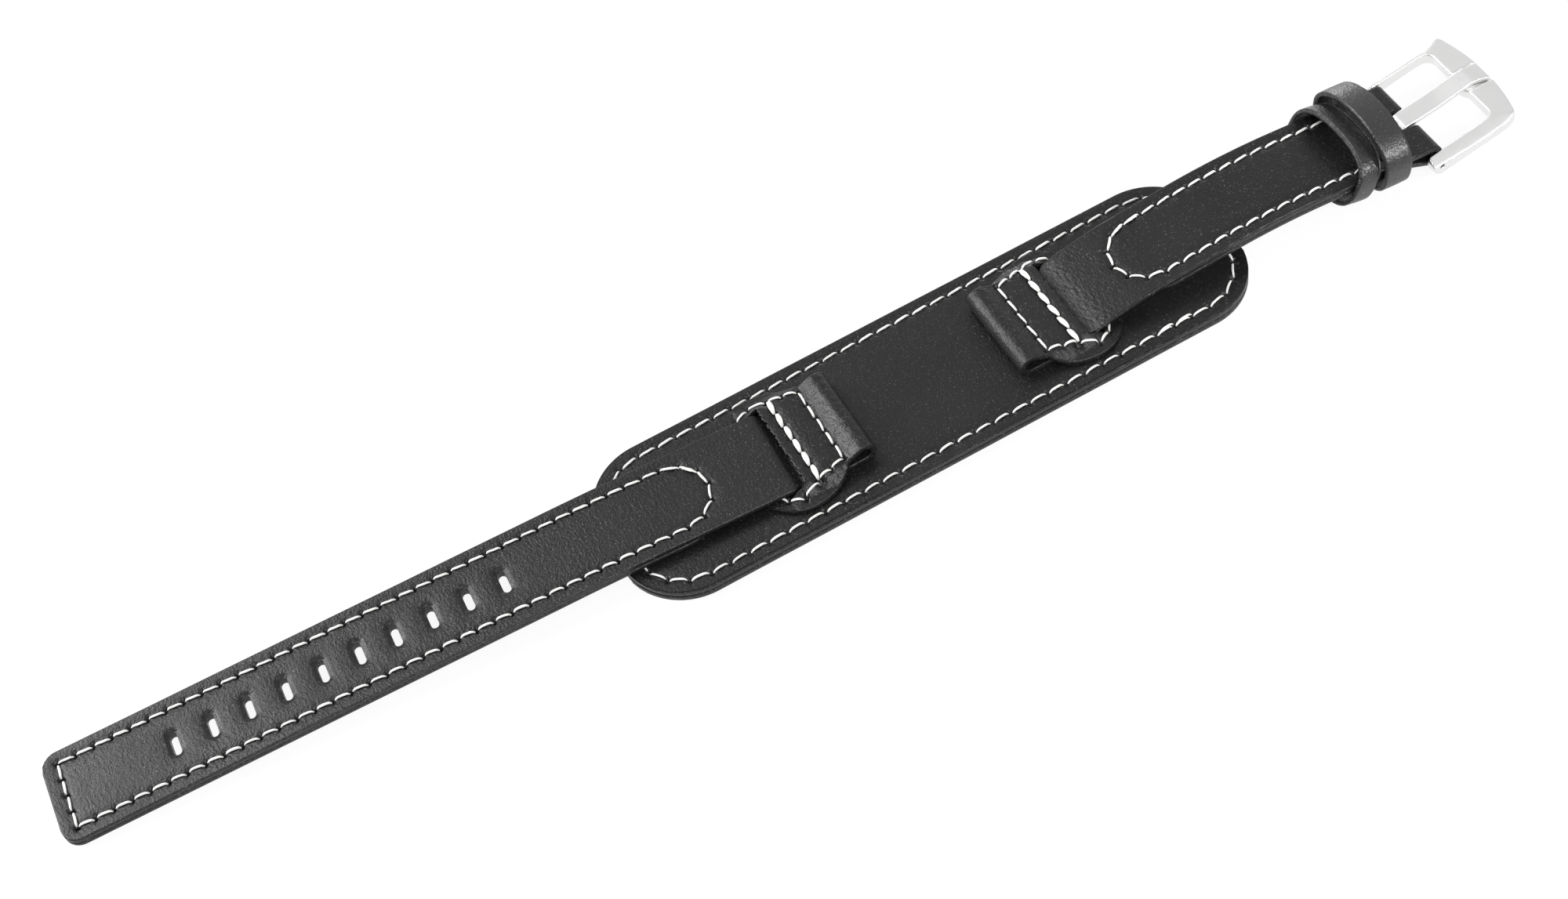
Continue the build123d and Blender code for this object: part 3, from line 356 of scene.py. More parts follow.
def thread_pull(x, y, stitches, pit=0.85, channel=0.13):
    """How far a seam pulls the leather down: a channel along it and a pit at each needle hole."""
    channel_width, slit_along, slit_across, slit_lean, far = 0.7, 0.19, 0.3, 0.35, 2.5
    pull = np.zeros(x.shape)
    for mid_x, mid_y, run_x, run_y, half in stitches:
        near = (np.abs(x - mid_x) < half + far) & (np.abs(y - mid_y) < half + far)
        along = (x[near] - mid_x) * run_x + (y[near] - mid_y) * run_y
        across = (y[near] - mid_y) * run_x - (x[near] - mid_x) * run_y
        past = np.maximum(np.abs(along) - half, 0)
        line = channel * np.exp(-(across**2 + past**2) / (2 * channel_width**2))
        slit = np.abs(along) - half + across * np.sign(along) * slit_lean
        hole = pit * np.exp(-(slit**2 / (2 * slit_along**2) + across**2 / (2 * slit_across**2)))
        pull[near] = np.maximum(pull[near], line + hole)
    return pull


def soft_waves(x, y, seed, size, height):
    """A slow, seeded unevenness of hand-cut leather."""
    waves = 6
    picks = np.random.default_rng(seed)
    total = np.zeros(x.shape)
    for _ in range(waves):
        turn = picks.uniform(0, 2 * math.pi)
        length = size * picks.uniform(0.6, 1.6)
        phase = picks.uniform(0, 2 * math.pi)
        total += np.sin((x * math.cos(turn) + y * math.sin(turn)) * 2 * math.pi / length + phase)
    return total * height / waves


pad_rows = closing_rows(-pad_half_length, pad_half_length, fine=0.3, step=0.2)
pad_columns = np.linspace(-1, 1, 151)
pad_x = np.repeat(pad_rows[:, None], len(pad_columns), 1)
pad_reach = pad_half_length - np.abs(pad_rows)


def pad_layer(name, height, depth, inset, **more):
    """One flat layer of the pad with its face at a height."""
    half = round_corner_width(pad_reach, pad_half_width - inset, pad_corner - inset)
    shrink = (pad_half_length - inset) / pad_half_length
    y = pad_columns[None, :] * half[:, None]
    face = np.stack([pad_x * shrink, y, np.full(y.shape, height)], -1)
    up = np.zeros(face.shape)
    up[..., 2] = 1
    return leather_sheet(name, face, up, depth, **more)


pad_inset = 2.2
seam_x, seam_y = pad_half_length - pad_corner, pad_half_width - pad_corner
pad_turn = pad_corner - pad_inset
pad_stretches = [
    stretch_of_line((-seam_x, pad_inset - pad_half_width), (seam_x, pad_inset - pad_half_width)),
    stretch_of_arc((seam_x, -seam_y), pad_turn, -90, 0),
    stretch_of_line((seam_x + pad_turn, -seam_y), (seam_x + pad_turn, seam_y)),
    stretch_of_arc((seam_x, seam_y), pad_turn, 0, 90),
    stretch_of_line((seam_x, pad_half_width - pad_inset), (-seam_x, pad_half_width - pad_inset)),
    stretch_of_arc((-seam_x, seam_y), pad_turn, 90, 180),
    stretch_of_line((-seam_x - pad_turn, seam_y), (-seam_x - pad_turn, -seam_y)),
    stretch_of_arc((-seam_x, -seam_y), pad_turn, 180, 270),
]
pad_stitches = stitches_along(pad_stretches, pitch=3.31)
pad_y = pad_columns[None, :] * round_corner_width(pad_reach, pad_half_width, pad_corner)[:, None]
pad_pull = thread_pull(pad_x, pad_y, pad_stitches) + soft_waves(pad_x, pad_y, seed=3, size=30.0, height=0.03)
pad_top = pad_layer("pad_top_leather", pad_top_height, pad_leather, 0, dent=pad_pull, edge=0.22)
pad_core = pad_layer(
    "pad_stiffener", lining_depth + stiffener_depth, stiffener_depth, 0.3,
    edge=0.04, hide=stiffener, rim=stiffener,
)
pad_under = pad_layer(
    "pad_lining_leather", lining_depth, lining_depth, 0,
    under_dent=pad_pull, edge=0.22, hide=lining_leather,
)
for piece, node, finish in (
    (pad_top, "pad_top", "black_leather"),
    (pad_core, "pad_reinforcement", "stiffener"),
    (pad_under, "pad_lining", "lining_leather"),
):
    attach(piece, "pad")
    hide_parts(node)

# Thread: thick white waxed thread of three plies. Each stitch comes up through one needle
# hole, lies a little slanted and arched over the leather, and goes down the next hole.
white_thread = bpy.data.materials.new("white_thread")
white_thread.use_nodes = True
thread_nodes, thread_links = white_thread.node_tree.nodes, white_thread.node_tree.links
thread_surface = thread_nodes["Principled BSDF"]
thread_surface.inputs["Roughness"].default_value = 0.62
thread_surface.inputs["Specular IOR Level"].default_value = 0.3
thread_surface.inputs["Subsurface Weight"].default_value = 0.15
thread_surface.inputs["Subsurface Radius"].default_value = (0.0004, 0.0004, 0.0004)
thread_map = node_of(thread_nodes, "TexCoord")
thread_turn = node_of(thread_nodes, "Mapping", {"Rotation": (0, 0, math.radians(38))})
thread_plies = node_of(thread_nodes, "TexWave", {"Scale": 2.2})
# The ply bands run from grey in the grooves to white on the crowns: painted shade in the grooves between the
# plies.
thread_groove_shade = colour_mix(thread_nodes, (0.62, 0.62, 0.6), (0.92, 0.92, 0.9))
thread_relief = node_of(thread_nodes, "Bump", {"Strength": 0.6, "Distance": 0.00006})
thread_links.new(thread_map.outputs["UV"], thread_turn.inputs["Vector"])
thread_links.new(thread_turn.outputs[0], thread_plies.inputs["Vector"])
thread_links.new(thread_plies.outputs["Fac"], thread_groove_shade.inputs["Factor"])
thread_links.new(thread_groove_shade.outputs["Result"], thread_surface.inputs["Base Color"])
thread_links.new(thread_plies.outputs["Fac"], thread_relief.inputs["Height"])
thread_links.new(thread_relief.outputs["Normal"], thread_surface.inputs["Normal"])


def sew(name, runs, seed, width=0.42, rise=0.1, slant=0.12, bow=0.09, cover=0.8, taper=0.35,
        strands=(0,)):
    """Every stitch of a seam as a bent thread. A run is its stitches and the surface they lie on."""
    rings, ring_points, buried, flatness = 11, 8, 0.3, 0.8
    stitch_points = rings * ring_points
    picks = np.random.default_rng(seed)
    share = np.linspace(-1, 1, rings)
    round_angles = np.linspace(0, 2 * math.pi, ring_points + 1)[:-1]
    points, faces, places = [], [], []
    for stitches, lay in runs:
        for (mid_x, mid_y, run_x, run_y, half), strand in itertools.product(stitches, strands):
            reach = share * half * cover * picks.uniform(0.96, 1.04)
            lean = slant * picks.uniform(0.5, 1.3)
            aside = lean * share + bow * picks.uniform(0.6, 1.4) * (1 - share**2)
            aside += strand * (1 - 0.75 * np.abs(share) ** 1.5)
            lift = (rise + buried) * (1 - np.abs(share) ** 5) - buried
            x = mid_x + reach * run_x - aside * run_y
            y = mid_y + reach * run_y + aside * run_x
            place, up = lay(x, y)
            line = place + up * lift[:, None]
            tangent = np.gradient(line, axis=0)
            tangent /= np.linalg.norm(tangent, axis=1, keepdims=True)
            side = np.cross(up, tangent)
            side /= np.linalg.norm(side, axis=1, keepdims=True)
            rise_way = np.cross(tangent, side)
            thick = width / 2 * picks.uniform(0.9, 1.1) * (1 - taper * np.abs(share) ** 3)
            base = len(points) * stitch_points
            ring = (
                line[:, None]
                + side[:, None] * (np.cos(round_angles)[None, :] * thick[:, None])[..., None]
                + rise_way[:, None] * (np.sin(round_angles)[None, :] * thick[:, None] * flatness)[..., None]
            )
            points.append(ring.reshape(-1, 3))
            places.append(np.stack(np.meshgrid((share + 1) * half, round_angles / math.pi,
                                               indexing="ij"), -1).reshape(-1, 2))
            at = base + np.arange(stitch_points).reshape(rings, ring_points)
            after = np.roll(at, -1, axis=1)
            quads = np.stack([at[:-1], at[1:], after[1:], after[:-1]], -1).reshape(-1, 4)
            faces += quads.tolist() + [at[0].tolist(), at[-1][::-1].tolist()]
    points = np.concatenate(points)
    places = np.concatenate(places)
    mesh = bpy.data.meshes.new(name)
    mesh.from_pydata((points * mm).tolist(), [], faces)
    sheet = mesh.uv_layers.new(name="thread")
    corner_points = np.zeros(len(mesh.loops), int)
    mesh.loops.foreach_get("vertex_index", corner_points)
    sheet.data.foreach_set("uv", places[corner_points].astype(np.float32).ravel())
    mesh.materials.append(white_thread)
    mesh.shade_smooth()
    piece = bpy.data.objects.new(name, mesh)
    bpy.context.scene.collection.objects.link(piece)
    return piece


def locked(stitches, x, y, number=2):
    """The last few stitches of a seam, sewn twice beside themselves to lock the thread."""
    aside, ahead = 0.2, 0.5
    again = stitches[np.argsort(np.hypot(stitches[:, 0] - x, stitches[:, 1] - y))[:number]].copy()
    again[:, 0] -= again[:, 3] * aside
    again[:, 1] += again[:, 2] * aside
    again[:, 0] += again[:, 2] * ahead
    again[:, 1] += again[:, 3] * ahead
    return again


def flat_face(height, side=1):
    """The pad's level face at a height, looking up or down."""
    def lay(x, y):
        up = np.zeros((len(x), 3))
        up[:, 2] = side
        return np.stack([x, y, np.full(len(x), height)], -1), up
    return lay


lock_lift, thread_sunk = 0.15, 0.26
pad_thread = sew("pad_thread", [
    (pad_stitches, flat_face(pad_top_height)),
    (locked(pad_stitches, 38.3, -12.8), flat_face(pad_top_height + lock_lift)),
    (pad_stitches, flat_face(thread_sunk, -1)),
], seed=11)
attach(pad_thread, "pad")
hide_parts("pad_seam")

# The tabs: each is one strap of leather folded round the lug bar. The lower ply ends at the
# slot, the upper ply runs on beside the slot and ends in an oval tongue sewn to the pad.
tunnel_x, tunnel_z, tunnel_mid = 14.9, 4.2, 1.5
tab_leather = 1.0
tab_half = 8.4
slot_x, landing_x = 25.1, 28.2
tongue_centre, tongue_long, tongue_wide = 25.5, 8.3, 11.8
crease_x, panel_mid, flap_mid, flap_height = 17.4, 4.6, 2.7, 3.2
flare_x = 17.7


def rounded(corners, radii):
    """Points of a side line whose corners are rounded."""
    points = [np.array(corners[0], float)]
    for before, corner, after, radius in zip(corners, corners[1:], corners[2:], radii):
        corner = np.array(corner, float)
        back = np.array(before, float) - corner
        ahead = np.array(after, float) - corner
        back_way, ahead_way = back / np.linalg.norm(back), ahead / np.linalg.norm(ahead)
        bend = math.pi - math.acos(np.clip(back_way @ ahead_way, -1, 1))
        reach = min(radius * math.tan(bend / 2), 0.48 * np.linalg.norm(back), 0.48 * np.linalg.norm(ahead))
        start, end = corner + back_way * reach, corner + ahead_way * reach
        for share in np.linspace(0, 1, 12):
            points.append((1 - share) ** 2 * start + 2 * share * (1 - share) * corner + share**2 * end)
    points.append(np.array(corners[-1], float))
    return np.array(points)


def even_path(points, step=0.05):
    """Even steps along a side line: run, x, z and the upward normal at each."""
    run = np.concatenate([[0], np.cumsum(np.linalg.norm(np.diff(points, axis=0), axis=1))])
    even = np.linspace(0, run[-1], max(round(run[-1] / step), 2))
    x, z = np.interp(even, run, points[:, 0]), np.interp(even, run, points[:, 1])
    slope_x, slope_z = np.gradient(x), np.gradient(z)
    width = 9
    blur = np.ones(width) / width
    slope_x = np.convolve(np.pad(slope_x, width // 2, "edge"), blur, "valid")
    slope_z = np.convolve(np.pad(slope_z, width // 2, "edge"), blur, "valid")
    length = np.hypot(slope_x, slope_z)
    return even, x, z, -slope_z / length, slope_x / length


def along_path(path, run, depth=0):
    """The place and the upward normal at a run along a path, a depth below its face."""
    even, x, z, out_x, out_z = path
    nx, nz = np.interp(run, even, out_x), np.interp(run, even, out_z)
    return np.interp(run, even, x) - nx * depth, np.interp(run, even, z) - nz * depth, nx, nz


crease = np.array([crease_x - tunnel_x, panel_mid - tunnel_z])
leave = math.atan2(crease[1], crease[0]) + math.acos(tunnel_mid / np.linalg.norm(crease))
roll_angles = np.linspace(-math.pi / 2, leave - 2 * math.pi, 40)
roll = np.array([tunnel_x, tunnel_z]) + tunnel_mid * np.stack([np.cos(roll_angles), np.sin(roll_angles)], -1)
tongue_end = tongue_centre + tongue_long - 0.03
upper_ply = rounded(
    [roll[-1], (crease_x, panel_mid), (slot_x, panel_mid), (landing_x, flap_mid), (tongue_end, flap_mid)],
    [9.0, 1.6, 1.6],
)
tab_path = even_path(np.concatenate([[(slot_x, flap_mid)], roll, upper_ply[1:]]))
tab_run, tab_path_x = tab_path[0], tab_path[1]
roll_run = tab_run[np.argmin(tab_path_x)]
on_top = tab_run > roll_run
flare_round = ((tongue_centre - flare_x) ** 2 / (tongue_wide - tab_half) + tongue_wide - tab_half) / 2


def run_at(x):
    """The run along the tab's upper ply at a distance from the pad's middle."""
    return np.interp(x, tab_path_x[on_top], tab_run[on_top])


def tab_width(run):
    """Half the tab's width: straight, then flared in an arc, then the tongue's oval."""
    x = along_path(tab_path, run)[0]
    flared = tongue_wide - flare_round + np.sqrt(np.maximum(flare_round**2 - (x - tongue_centre) ** 2, 0))
    tongue = tongue_wide * np.sqrt(np.maximum(1 - ((x - tongue_centre) / tongue_long) ** 2, 0.002))
    half = np.where(x < tongue_centre, flared, tongue)
    return np.where((run < roll_run) | (x < flare_x), tab_half, half)


def wing_drop(x, y, height):
    """How far the flared sides beside the panel hang down towards the pad, a little puckered."""
    panel_edge, wing_wide, wing_start, wing_fade, clearance, pucker_height = 7.9, 3.0, 17.0, 1.5, 0.15, 0.03
    share = np.clip((np.abs(y) - panel_edge) / wing_wide, 0, 1)
    fade = np.clip((x - wing_start) / wing_fade, 0, 1)
    pucker = pucker_height * np.sin(x * 5.1 + np.sin(x * 2.3 + y)) * share * (1 - share) * 4
    fall_to_pad = np.maximum(height - flap_height - clearance, 0)
    return (fall_to_pad * share**2 * (3 - 2 * share) + pucker) * fade


def hump(x, centre, spread):
    """One at a place, falling off smoothly on both sides of it."""
    return np.exp(-((x - centre) ** 2) / (2 * spread**2))


def roll_wrinkle(x, y, seed):
    """Fine creases across the fold over the lug bar."""
    near = hump(x, tunnel_x + 0.5, 1.4)
    return near * (soft_waves(x * 0.3, y, seed, 0.6, 0.035) + soft_waves(x, y, seed + 1, 1.5, 0.07))


slot_run, landing_run = run_at(slot_x), run_at(landing_x)
tab_rows = np.concatenate([
    closing_rows(0, slot_run, 0.2, 0.22),
    closing_rows(slot_run, landing_run, 0.2, 0.3)[1:-1],
    closing_rows(landing_run, tab_run[-1], 0.2, 0.35),
])
inner_share = np.linspace(-1, 1, 73)
outer_share = np.linspace(0, 1, 15)[1:]
box_x, box_half = 18.2, 7.5
heavy_x, heavy_half = 23.1, 8.7
box_lines = [
    stretch_of_line((box_x, -box_half), (box_x, box_half)),
    stretch_of_line((box_x, box_half), (heavy_x, heavy_half)),
    stretch_of_line((box_x, -box_half), (heavy_x, -heavy_half)),
]
heavy_lines = [stretch_of_line((heavy_x, -heavy_half), (heavy_x, heavy_half))]
wing_seam_start, wing_seam_end, tongue_seam_radii = (23.2, 8.8), (26.1, 9.9), (6.45, 9.95)
tongue_lines = []
for side in (1, -1):
    mirror = np.array([1, side])
    tongue_lines.append(stretch_of_line(wing_seam_start * mirror, wing_seam_end * mirror))
    tongue_lines.append(stretch_of_arc((tongue_centre, 0), tongue_seam_radii, side * 84, side * 25))
box_stitches = stitches_along(box_lines, pitch=3.0)
heavy_stitches = stitches_along(heavy_lines, pitch=2.9)
tongue_stitches = stitches_along(tongue_lines, pitch=3.0)


def tab_face(side):
    """The tab's upper face at one end of the pad, for laying stitches on."""
    def lay(x, y):
        px, pz, nx, nz = along_path(tab_path, run_at(x), -tab_leather / 2)
        place = np.stack([side * px, y, pz - wing_drop(x, y, pz)], -1)
        return place, np.stack([side * nx, np.zeros(len(x)), nz], -1)
    return lay


for side, end in ((1, "short"), (-1, "long")):
    width = tab_width(tab_rows)
    inner = np.minimum(width, tab_half)
    outer = inner[:, None] + (width - inner)[:, None] * outer_share[None, :]
    tab_y = np.concatenate([-outer[:, ::-1], inner[:, None] * inner_share[None, :], outer], 1)
    px, pz, nx, nz = (np.repeat(part[:, None], tab_y.shape[1], 1)
                      for part in along_path(tab_path, tab_rows, -tab_leather / 2))
    plan_x = along_path(tab_path, tab_rows)[0][:, None] + tab_y * 0
    upper = np.repeat((tab_rows > roll_run)[:, None], tab_y.shape[1], 1)
    drop = np.where(upper, wing_drop(plan_x, tab_y, pz), 0)
    ragged = soft_waves(tab_y, tab_y * 0, 71 + side, 1.1, 0.32)
    ragged += soft_waves(tab_y, tab_y * 0, 73 + side, 0.5, 0.3)
    ragged *= hump(tab_rows[:, None], slot_run, 0.3) * (np.abs(tab_y) < tab_half - 0.2)
    tab_points = np.stack([side * (px + ragged), tab_y, pz - drop], -1)
    tab_normals = np.stack([side * nx, tab_y * 0, nz], -1)
    mid_run = (tab_rows[:-1] + tab_rows[1:]) / 2
    mid_width = tab_width(mid_run)
    wide = (mid_width > tab_half) & (mid_run > roll_run)
    columns = tab_y.shape[1] - 1
    cell = np.arange(columns)
    outer_cell = (cell < len(outer_share)) | (cell >= columns - len(outer_share))
    in_slot = (mid_run > slot_run) & (mid_run < landing_run)
    keep = np.where(outer_cell[None, :], wide[:, None], ~in_slot[:, None])
    pull = thread_pull(plan_x, tab_y, box_stitches) + thread_pull(plan_x, tab_y, heavy_stitches, channel=0.25)
    pull = np.where(upper, pull + thread_pull(plan_x, tab_y, tongue_stitches), 0)
    pull += roll_wrinkle(px, tab_y, 77 + side)
    tab = leather_sheet(end + "_tab_leather", tab_points, tab_normals, tab_leather, keep=keep,
                        dent=pull, edge=0.16)
    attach(tab, "pad")
    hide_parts(end + "_tab")
    tab_thread = sew(end + "_tab_thread", [(box_stitches, tab_face(side))], seed=21 + side)
    heavy_thread = sew(end + "_heavy_thread", [(heavy_stitches, tab_face(side))], seed=31 + side,
                       slant=0.16, bow=0.05, cover=0.92, strands=(-0.25, 0, 0.25))
    tongue_thread = sew(end + "_tongue_thread", [(tongue_stitches, tab_face(side))], seed=41 + side)
    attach(tab_thread, "pad")
    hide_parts(end + "_tab_seam")
    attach(heavy_thread, "pad")
    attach(tongue_thread, "pad")
    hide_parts(end + "_tongue_seam")

# The long strap: its top leather runs out of the tab's slot to a square tip, with ten oblong
# holes. A stiffener and a lining lie under it from a half round on, sewn round the edge.
strap_half = 8.2
strap_leather = 0.9
strap_lining = 0.8
strap_depth = 1.9
turn_half = 6.0
end_seam_inset = 2.5
long_length = 119.8
long_turn = 10.9
lining_margin = 1.2
tip_corner = 2.8
hole_number, hole_pitch, first_hole = 10, 6.04, 19.9
hole_across, hole_along = 4.2, 1.3
long_yaw = math.radians(3.1)
hinge_x = 26.8
root_half, root_step, slot_dent = 7.7, 0.5, 0.55
long_along = np.array([-math.cos(long_yaw), math.sin(long_yaw), 0])
long_across = np.array([math.sin(long_yaw), math.cos(long_yaw), 0])
long_origin = np.array([-hinge_x, 0, 0])
long_way = (long_along, long_across, long_origin)


def run_to(path, x):
    """The run along a strap's upper side to a plan distance."""
    limit = path[1].argmax() + 1
    return np.interp(x, path[1][:limit], path[0][:limit])


def lay_strap(path, way, depth=0, side=1):
    """A strap's surface for points given by their plan distance along it and across it."""
    along, across, origin = way

    def lay(x, y):
        px, pz, nx, nz = along_path(path, run_to(path, x), depth)
        place = origin + px[:, None] * along + y[:, None] * across
        place[:, 2] += pz
        up = nx[:, None] * along
        up[:, 2] += nz
        return place, up * side
    return lay


def strap_grid(path, rows, half, columns, way, depth=0):
    """The grid of points, normals and plan places of a strap's layer."""
    along, across, origin = way
    px, pz, nx, nz = (part[:, None] + columns[None, :] * 0 for part in along_path(path, rows, depth))
    y = half[:, None] * columns[None, :] / strap_half
    face = origin + px[..., None] * along + y[..., None] * across
    face[..., 2] += pz
    up = nx[..., None] * along
    up[..., 2] += nz
    return face, up, px, y


def turned_stretches(turn, end):
    """A strap's seam: along both edges, round at one end and straight across at the other."""
    centre = turn + turn_half
    return [
        stretch_of_line((end, turn_half), (centre, turn_half)),
        stretch_of_arc((centre, 0), turn_half, 90, 270),
        stretch_of_line((centre, -turn_half), (end, -turn_half)),
        stretch_of_line((end, -turn_half), (end, turn_half)),
    ]


long_path = even_path(rounded(
    [(-8.8, 4.1), (-1.5, 4.1), (-0.2, 4.35), (30.0, 4.5), (long_length, 1.9)], [4.0, 4.0, 400.0]
))
long_stitches = stitches_along(turned_stretches(long_turn, long_length - end_seam_inset), pitch=2.95)
strap_columns = np.linspace(-strap_half, strap_half, 87)
hole_places = [long_length - first_hole - k * hole_pitch for k in range(hole_number)]
hole_straight = (hole_across - hole_along) / 2


def hole_dent(x, y):
    """The leather pressed down round each oblong hole: a steep rim in a wide hollow."""
    dent = np.zeros(x.shape)
    for centre in hole_places:
        past = np.maximum(np.abs(y) - hole_straight, 0)
        gap = np.maximum(np.hypot(x - centre, past) - hole_along / 2, 0)
        for depth, spread in ((0.32, 0.3), (0.13, 1.2)):
            dent += depth * hump(gap, 0, spread)
    return dent


def cut_holes(piece):
    """Punches the ten oblong holes through a layer of the long strap."""
    points, faces = [], []
    punch_foot, punch_top = -3.0, 9.0
    radius = hole_along / 2
    outline = [(radius * math.cos(turn), hole_straight + radius * math.sin(turn))
               for turn in np.linspace(0, math.pi, 10)]
    outline += [(-x, -y) for x, y in outline]
    for centre in hole_places:
        base, size = len(points), len(outline)
        for height in (punch_foot, punch_top):
            for x, y in outline:
                place = long_origin + (centre + x) * long_along + y * long_across
                points.append((place[0] * mm, place[1] * mm, height * mm))
        faces.append([base + i for i in range(size)])
        faces.append([base + size + i for i in reversed(range(size))])
        faces += [[base + i, base + size + i, base + size + (i + 1) % size, base + (i + 1) % size]
                  for i in range(size)]
    mesh = bpy.data.meshes.new("punch")
    mesh.from_pydata(points, [], faces)
    for finish in piece.data.materials[:2]:
        mesh.materials.append(finish)
    for face in mesh.polygons:
        face.material_index = 1
    punch = bpy.data.objects.new("punch", mesh)
    bpy.context.scene.collection.objects.link(punch)
    cut = piece.modifiers.new("cut", "BOOLEAN")
    cut.operation = "DIFFERENCE"
    cut.solver = "EXACT"
    cut.object = punch
    bpy.context.view_layer.update()
    made = bpy.data.meshes.new_from_object(piece.evaluated_get(bpy.context.evaluated_depsgraph_get()))
    piece.modifiers.clear()
    piece.data = made
    bpy.data.objects.remove(punch)
    made.shade_smooth()
    made.set_sharp_from_angle(angle=math.radians(50))


long_rows = closing_rows(0, long_path[0][-1], fine=0.3, step=0.18)
long_x = along_path(long_path, long_rows)[0]
long_half = round_corner_width(long_length - long_x, strap_half, tip_corner)
long_half = np.minimum(long_half, root_half + root_step * np.clip(long_x + 1.2, 0, 1))
face, up, plan_x, plan_y = strap_grid(long_path, long_rows, long_half, strap_columns, long_way)
long_pull = thread_pull(plan_x, plan_y, long_stitches) + hole_dent(plan_x, plan_y)
long_pull += soft_waves(plan_x, plan_y, seed=5, size=26.0, height=0.04)
long_pull += slot_dent * hump(plan_x, -1.9, 0.8)
long_top = leather_sheet("long_strap_leather", face, up, strap_leather, dent=long_pull, edge=0.2)
cut_holes(long_top)
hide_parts("long_strap_top", "long_strap_anchor")
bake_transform(long_top)


def line_strap(body, path, way, stitches, start, stop, holed):
    """The stiffener and the lining under a strap, which begin with a half round."""
    first, last = run_to(path, [start, stop])
    rows = closing_rows(first + 0.03, last, fine=0.25, step=0.45)
    x = along_path(path, rows)[0]
    half = round_corner_width(x - start, strap_half, strap_half)
    if holed:
        half = np.minimum(round_corner_width(stop - x, strap_half, tip_corner), half)
    for ending, node, depth, thick, hide, inset in (
        ("_stiffener", "_reinforcement", strap_leather, stiffener_depth, stiffener, 0.12),
        ("_lining_leather", "_lining", strap_leather + stiffener_depth, strap_lining, lining_leather, 0),
    ):
        face, up, plan_x, plan_y = strap_grid(path, rows, half - inset, strap_columns, way, depth)
        pull = thread_pull(plan_x, plan_y, stitches) if hide == lining_leather else 0
        layer = leather_sheet(body + ending, face, up, thick, under_dent=pull,
                              edge=min(0.2, thick / 3), hide=hide)
        if holed:
            cut_holes(layer)
        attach(layer, body)
        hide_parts(body + node)


line_strap("long_strap", long_path, long_way, long_stitches,
           long_turn - lining_margin, long_length, holed=True)
long_thread = sew("long_strap_thread", [
    (long_stitches, lay_strap(long_path, long_way)),
    (locked(long_stitches, 13.0, 5.6), lay_strap(long_path, long_way, -lock_lift)),
    (long_stitches, lay_strap(long_path, long_way, strap_depth - thread_sunk, -1)),
], seed=51)
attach(long_thread, "long_strap")
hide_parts("long_strap_seam")

# The short strap: its top leather rises out of the other slot, crowns, wraps round the spring
# bar with a notch for the buckle's tongue, and comes back underneath to meet the lining.
bar_x, bar_z = 90.2, 2.9
loop_round = 1.85
fall = math.radians(6.3)
fold_half, fold_reach = 0.95, 5.7
fold_back = fall + 2 * math.asin(fold_half / fold_reach)
loop_angles = np.linspace(math.pi / 2 - fall, -math.pi / 2 - fold_back, 40)
loop = np.array([bar_x, bar_z]) + loop_round * np.stack([np.cos(loop_angles), np.sin(loop_angles)], -1)
short_turn, short_seam_end, lining_end, covered_x = 35.0, 85.0, 79.0, 78.9
short_way = (np.array([1.0, 0, 0]), np.array([0, 1.0, 0]), np.zeros(3))
short_front = rounded(
    [(18.0, 4.1), (25.5, 4.1), (26.75, 4.34), (36.5, 6.35), (60.0, 8.095), tuple(loop[0])],
    [2.0, 2.0, 40.0, 110.0],
)
short_back = rounded([tuple(loop[-1]), (84.741, 3.453), (78.791, 4.109)], [2.0])
short_path = even_path(np.concatenate([short_front, loop[1:], short_back[1:]]))
short_rows = closing_rows(0, short_path[0][-1], fine=0.3, step=0.18)
notch_half, notch_x = 2.2, 88.0
short_columns = np.unique(np.concatenate([strap_columns, [-notch_half, notch_half]]))
short_x = along_path(short_path, short_rows)[0]
root_end_x = 25.6
short_half = np.minimum(root_half + root_step * np.clip(short_x - root_end_x, 0, 1), strap_half)
face, up, plan_x, plan_y = strap_grid(short_path, short_rows, short_half, short_columns, short_way)
short_stitches = stitches_along(turned_stretches(short_turn, short_seam_end), pitch=2.95)
turn_run = short_path[0][short_path[1].argmax()]
above = (short_rows < turn_run)[:, None]
short_pull = np.where(above, thread_pull(plan_x, plan_y, short_stitches), 0)
short_pull += np.where(above, soft_waves(plan_x, plan_y, seed=8, size=24.0, height=0.04), 0)
dive_creases = soft_waves(plan_x, plan_y * 0.6, 13, 0.9, 0.06) + soft_waves(plan_x, plan_y, 14, 0.6, 0.06)
short_pull += hump(plan_x, 28.0, 1.7) * above * dive_creases
short_pull += slot_dent * hump(plan_x, root_end_x, 1.6) * above
middle_x, middle_y = ((plan[:-1, :-1] + plan[1:, 1:]) / 2 for plan in (plan_x, plan_y))
short_keep = ~((middle_x > notch_x) & (np.abs(middle_y) < notch_half))
short_top = leather_sheet(
    "short_strap_leather", face, up, strap_leather, keep=short_keep, dent=short_pull, edge=0.2
)
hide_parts("short_strap_top", "short_strap_anchor")
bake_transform(short_top)

line_strap("short_strap", short_path, short_way, short_stitches,
           short_turn - lining_margin, lining_end, holed=False)

bare_stitches = short_stitches[short_stitches[:, 0] < covered_x]
short_thread = sew("short_strap_thread", [
    (bare_stitches, lay_strap(short_path, short_way)),
    (locked(short_stitches, 39.5, 5.7), lay_strap(short_path, short_way, -lock_lift)),
    (short_stitches, lay_strap(short_path, short_way, strap_depth - thread_sunk, -1)),
], seed=61)
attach(short_thread, "short_strap")
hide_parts("short_strap_seam")

# The keepers: closed loops of thinner leather round the short strap. The fixed one is sewn
# into the strap, and the floating one leans its top over towards it.
keeper_leather = 0.8


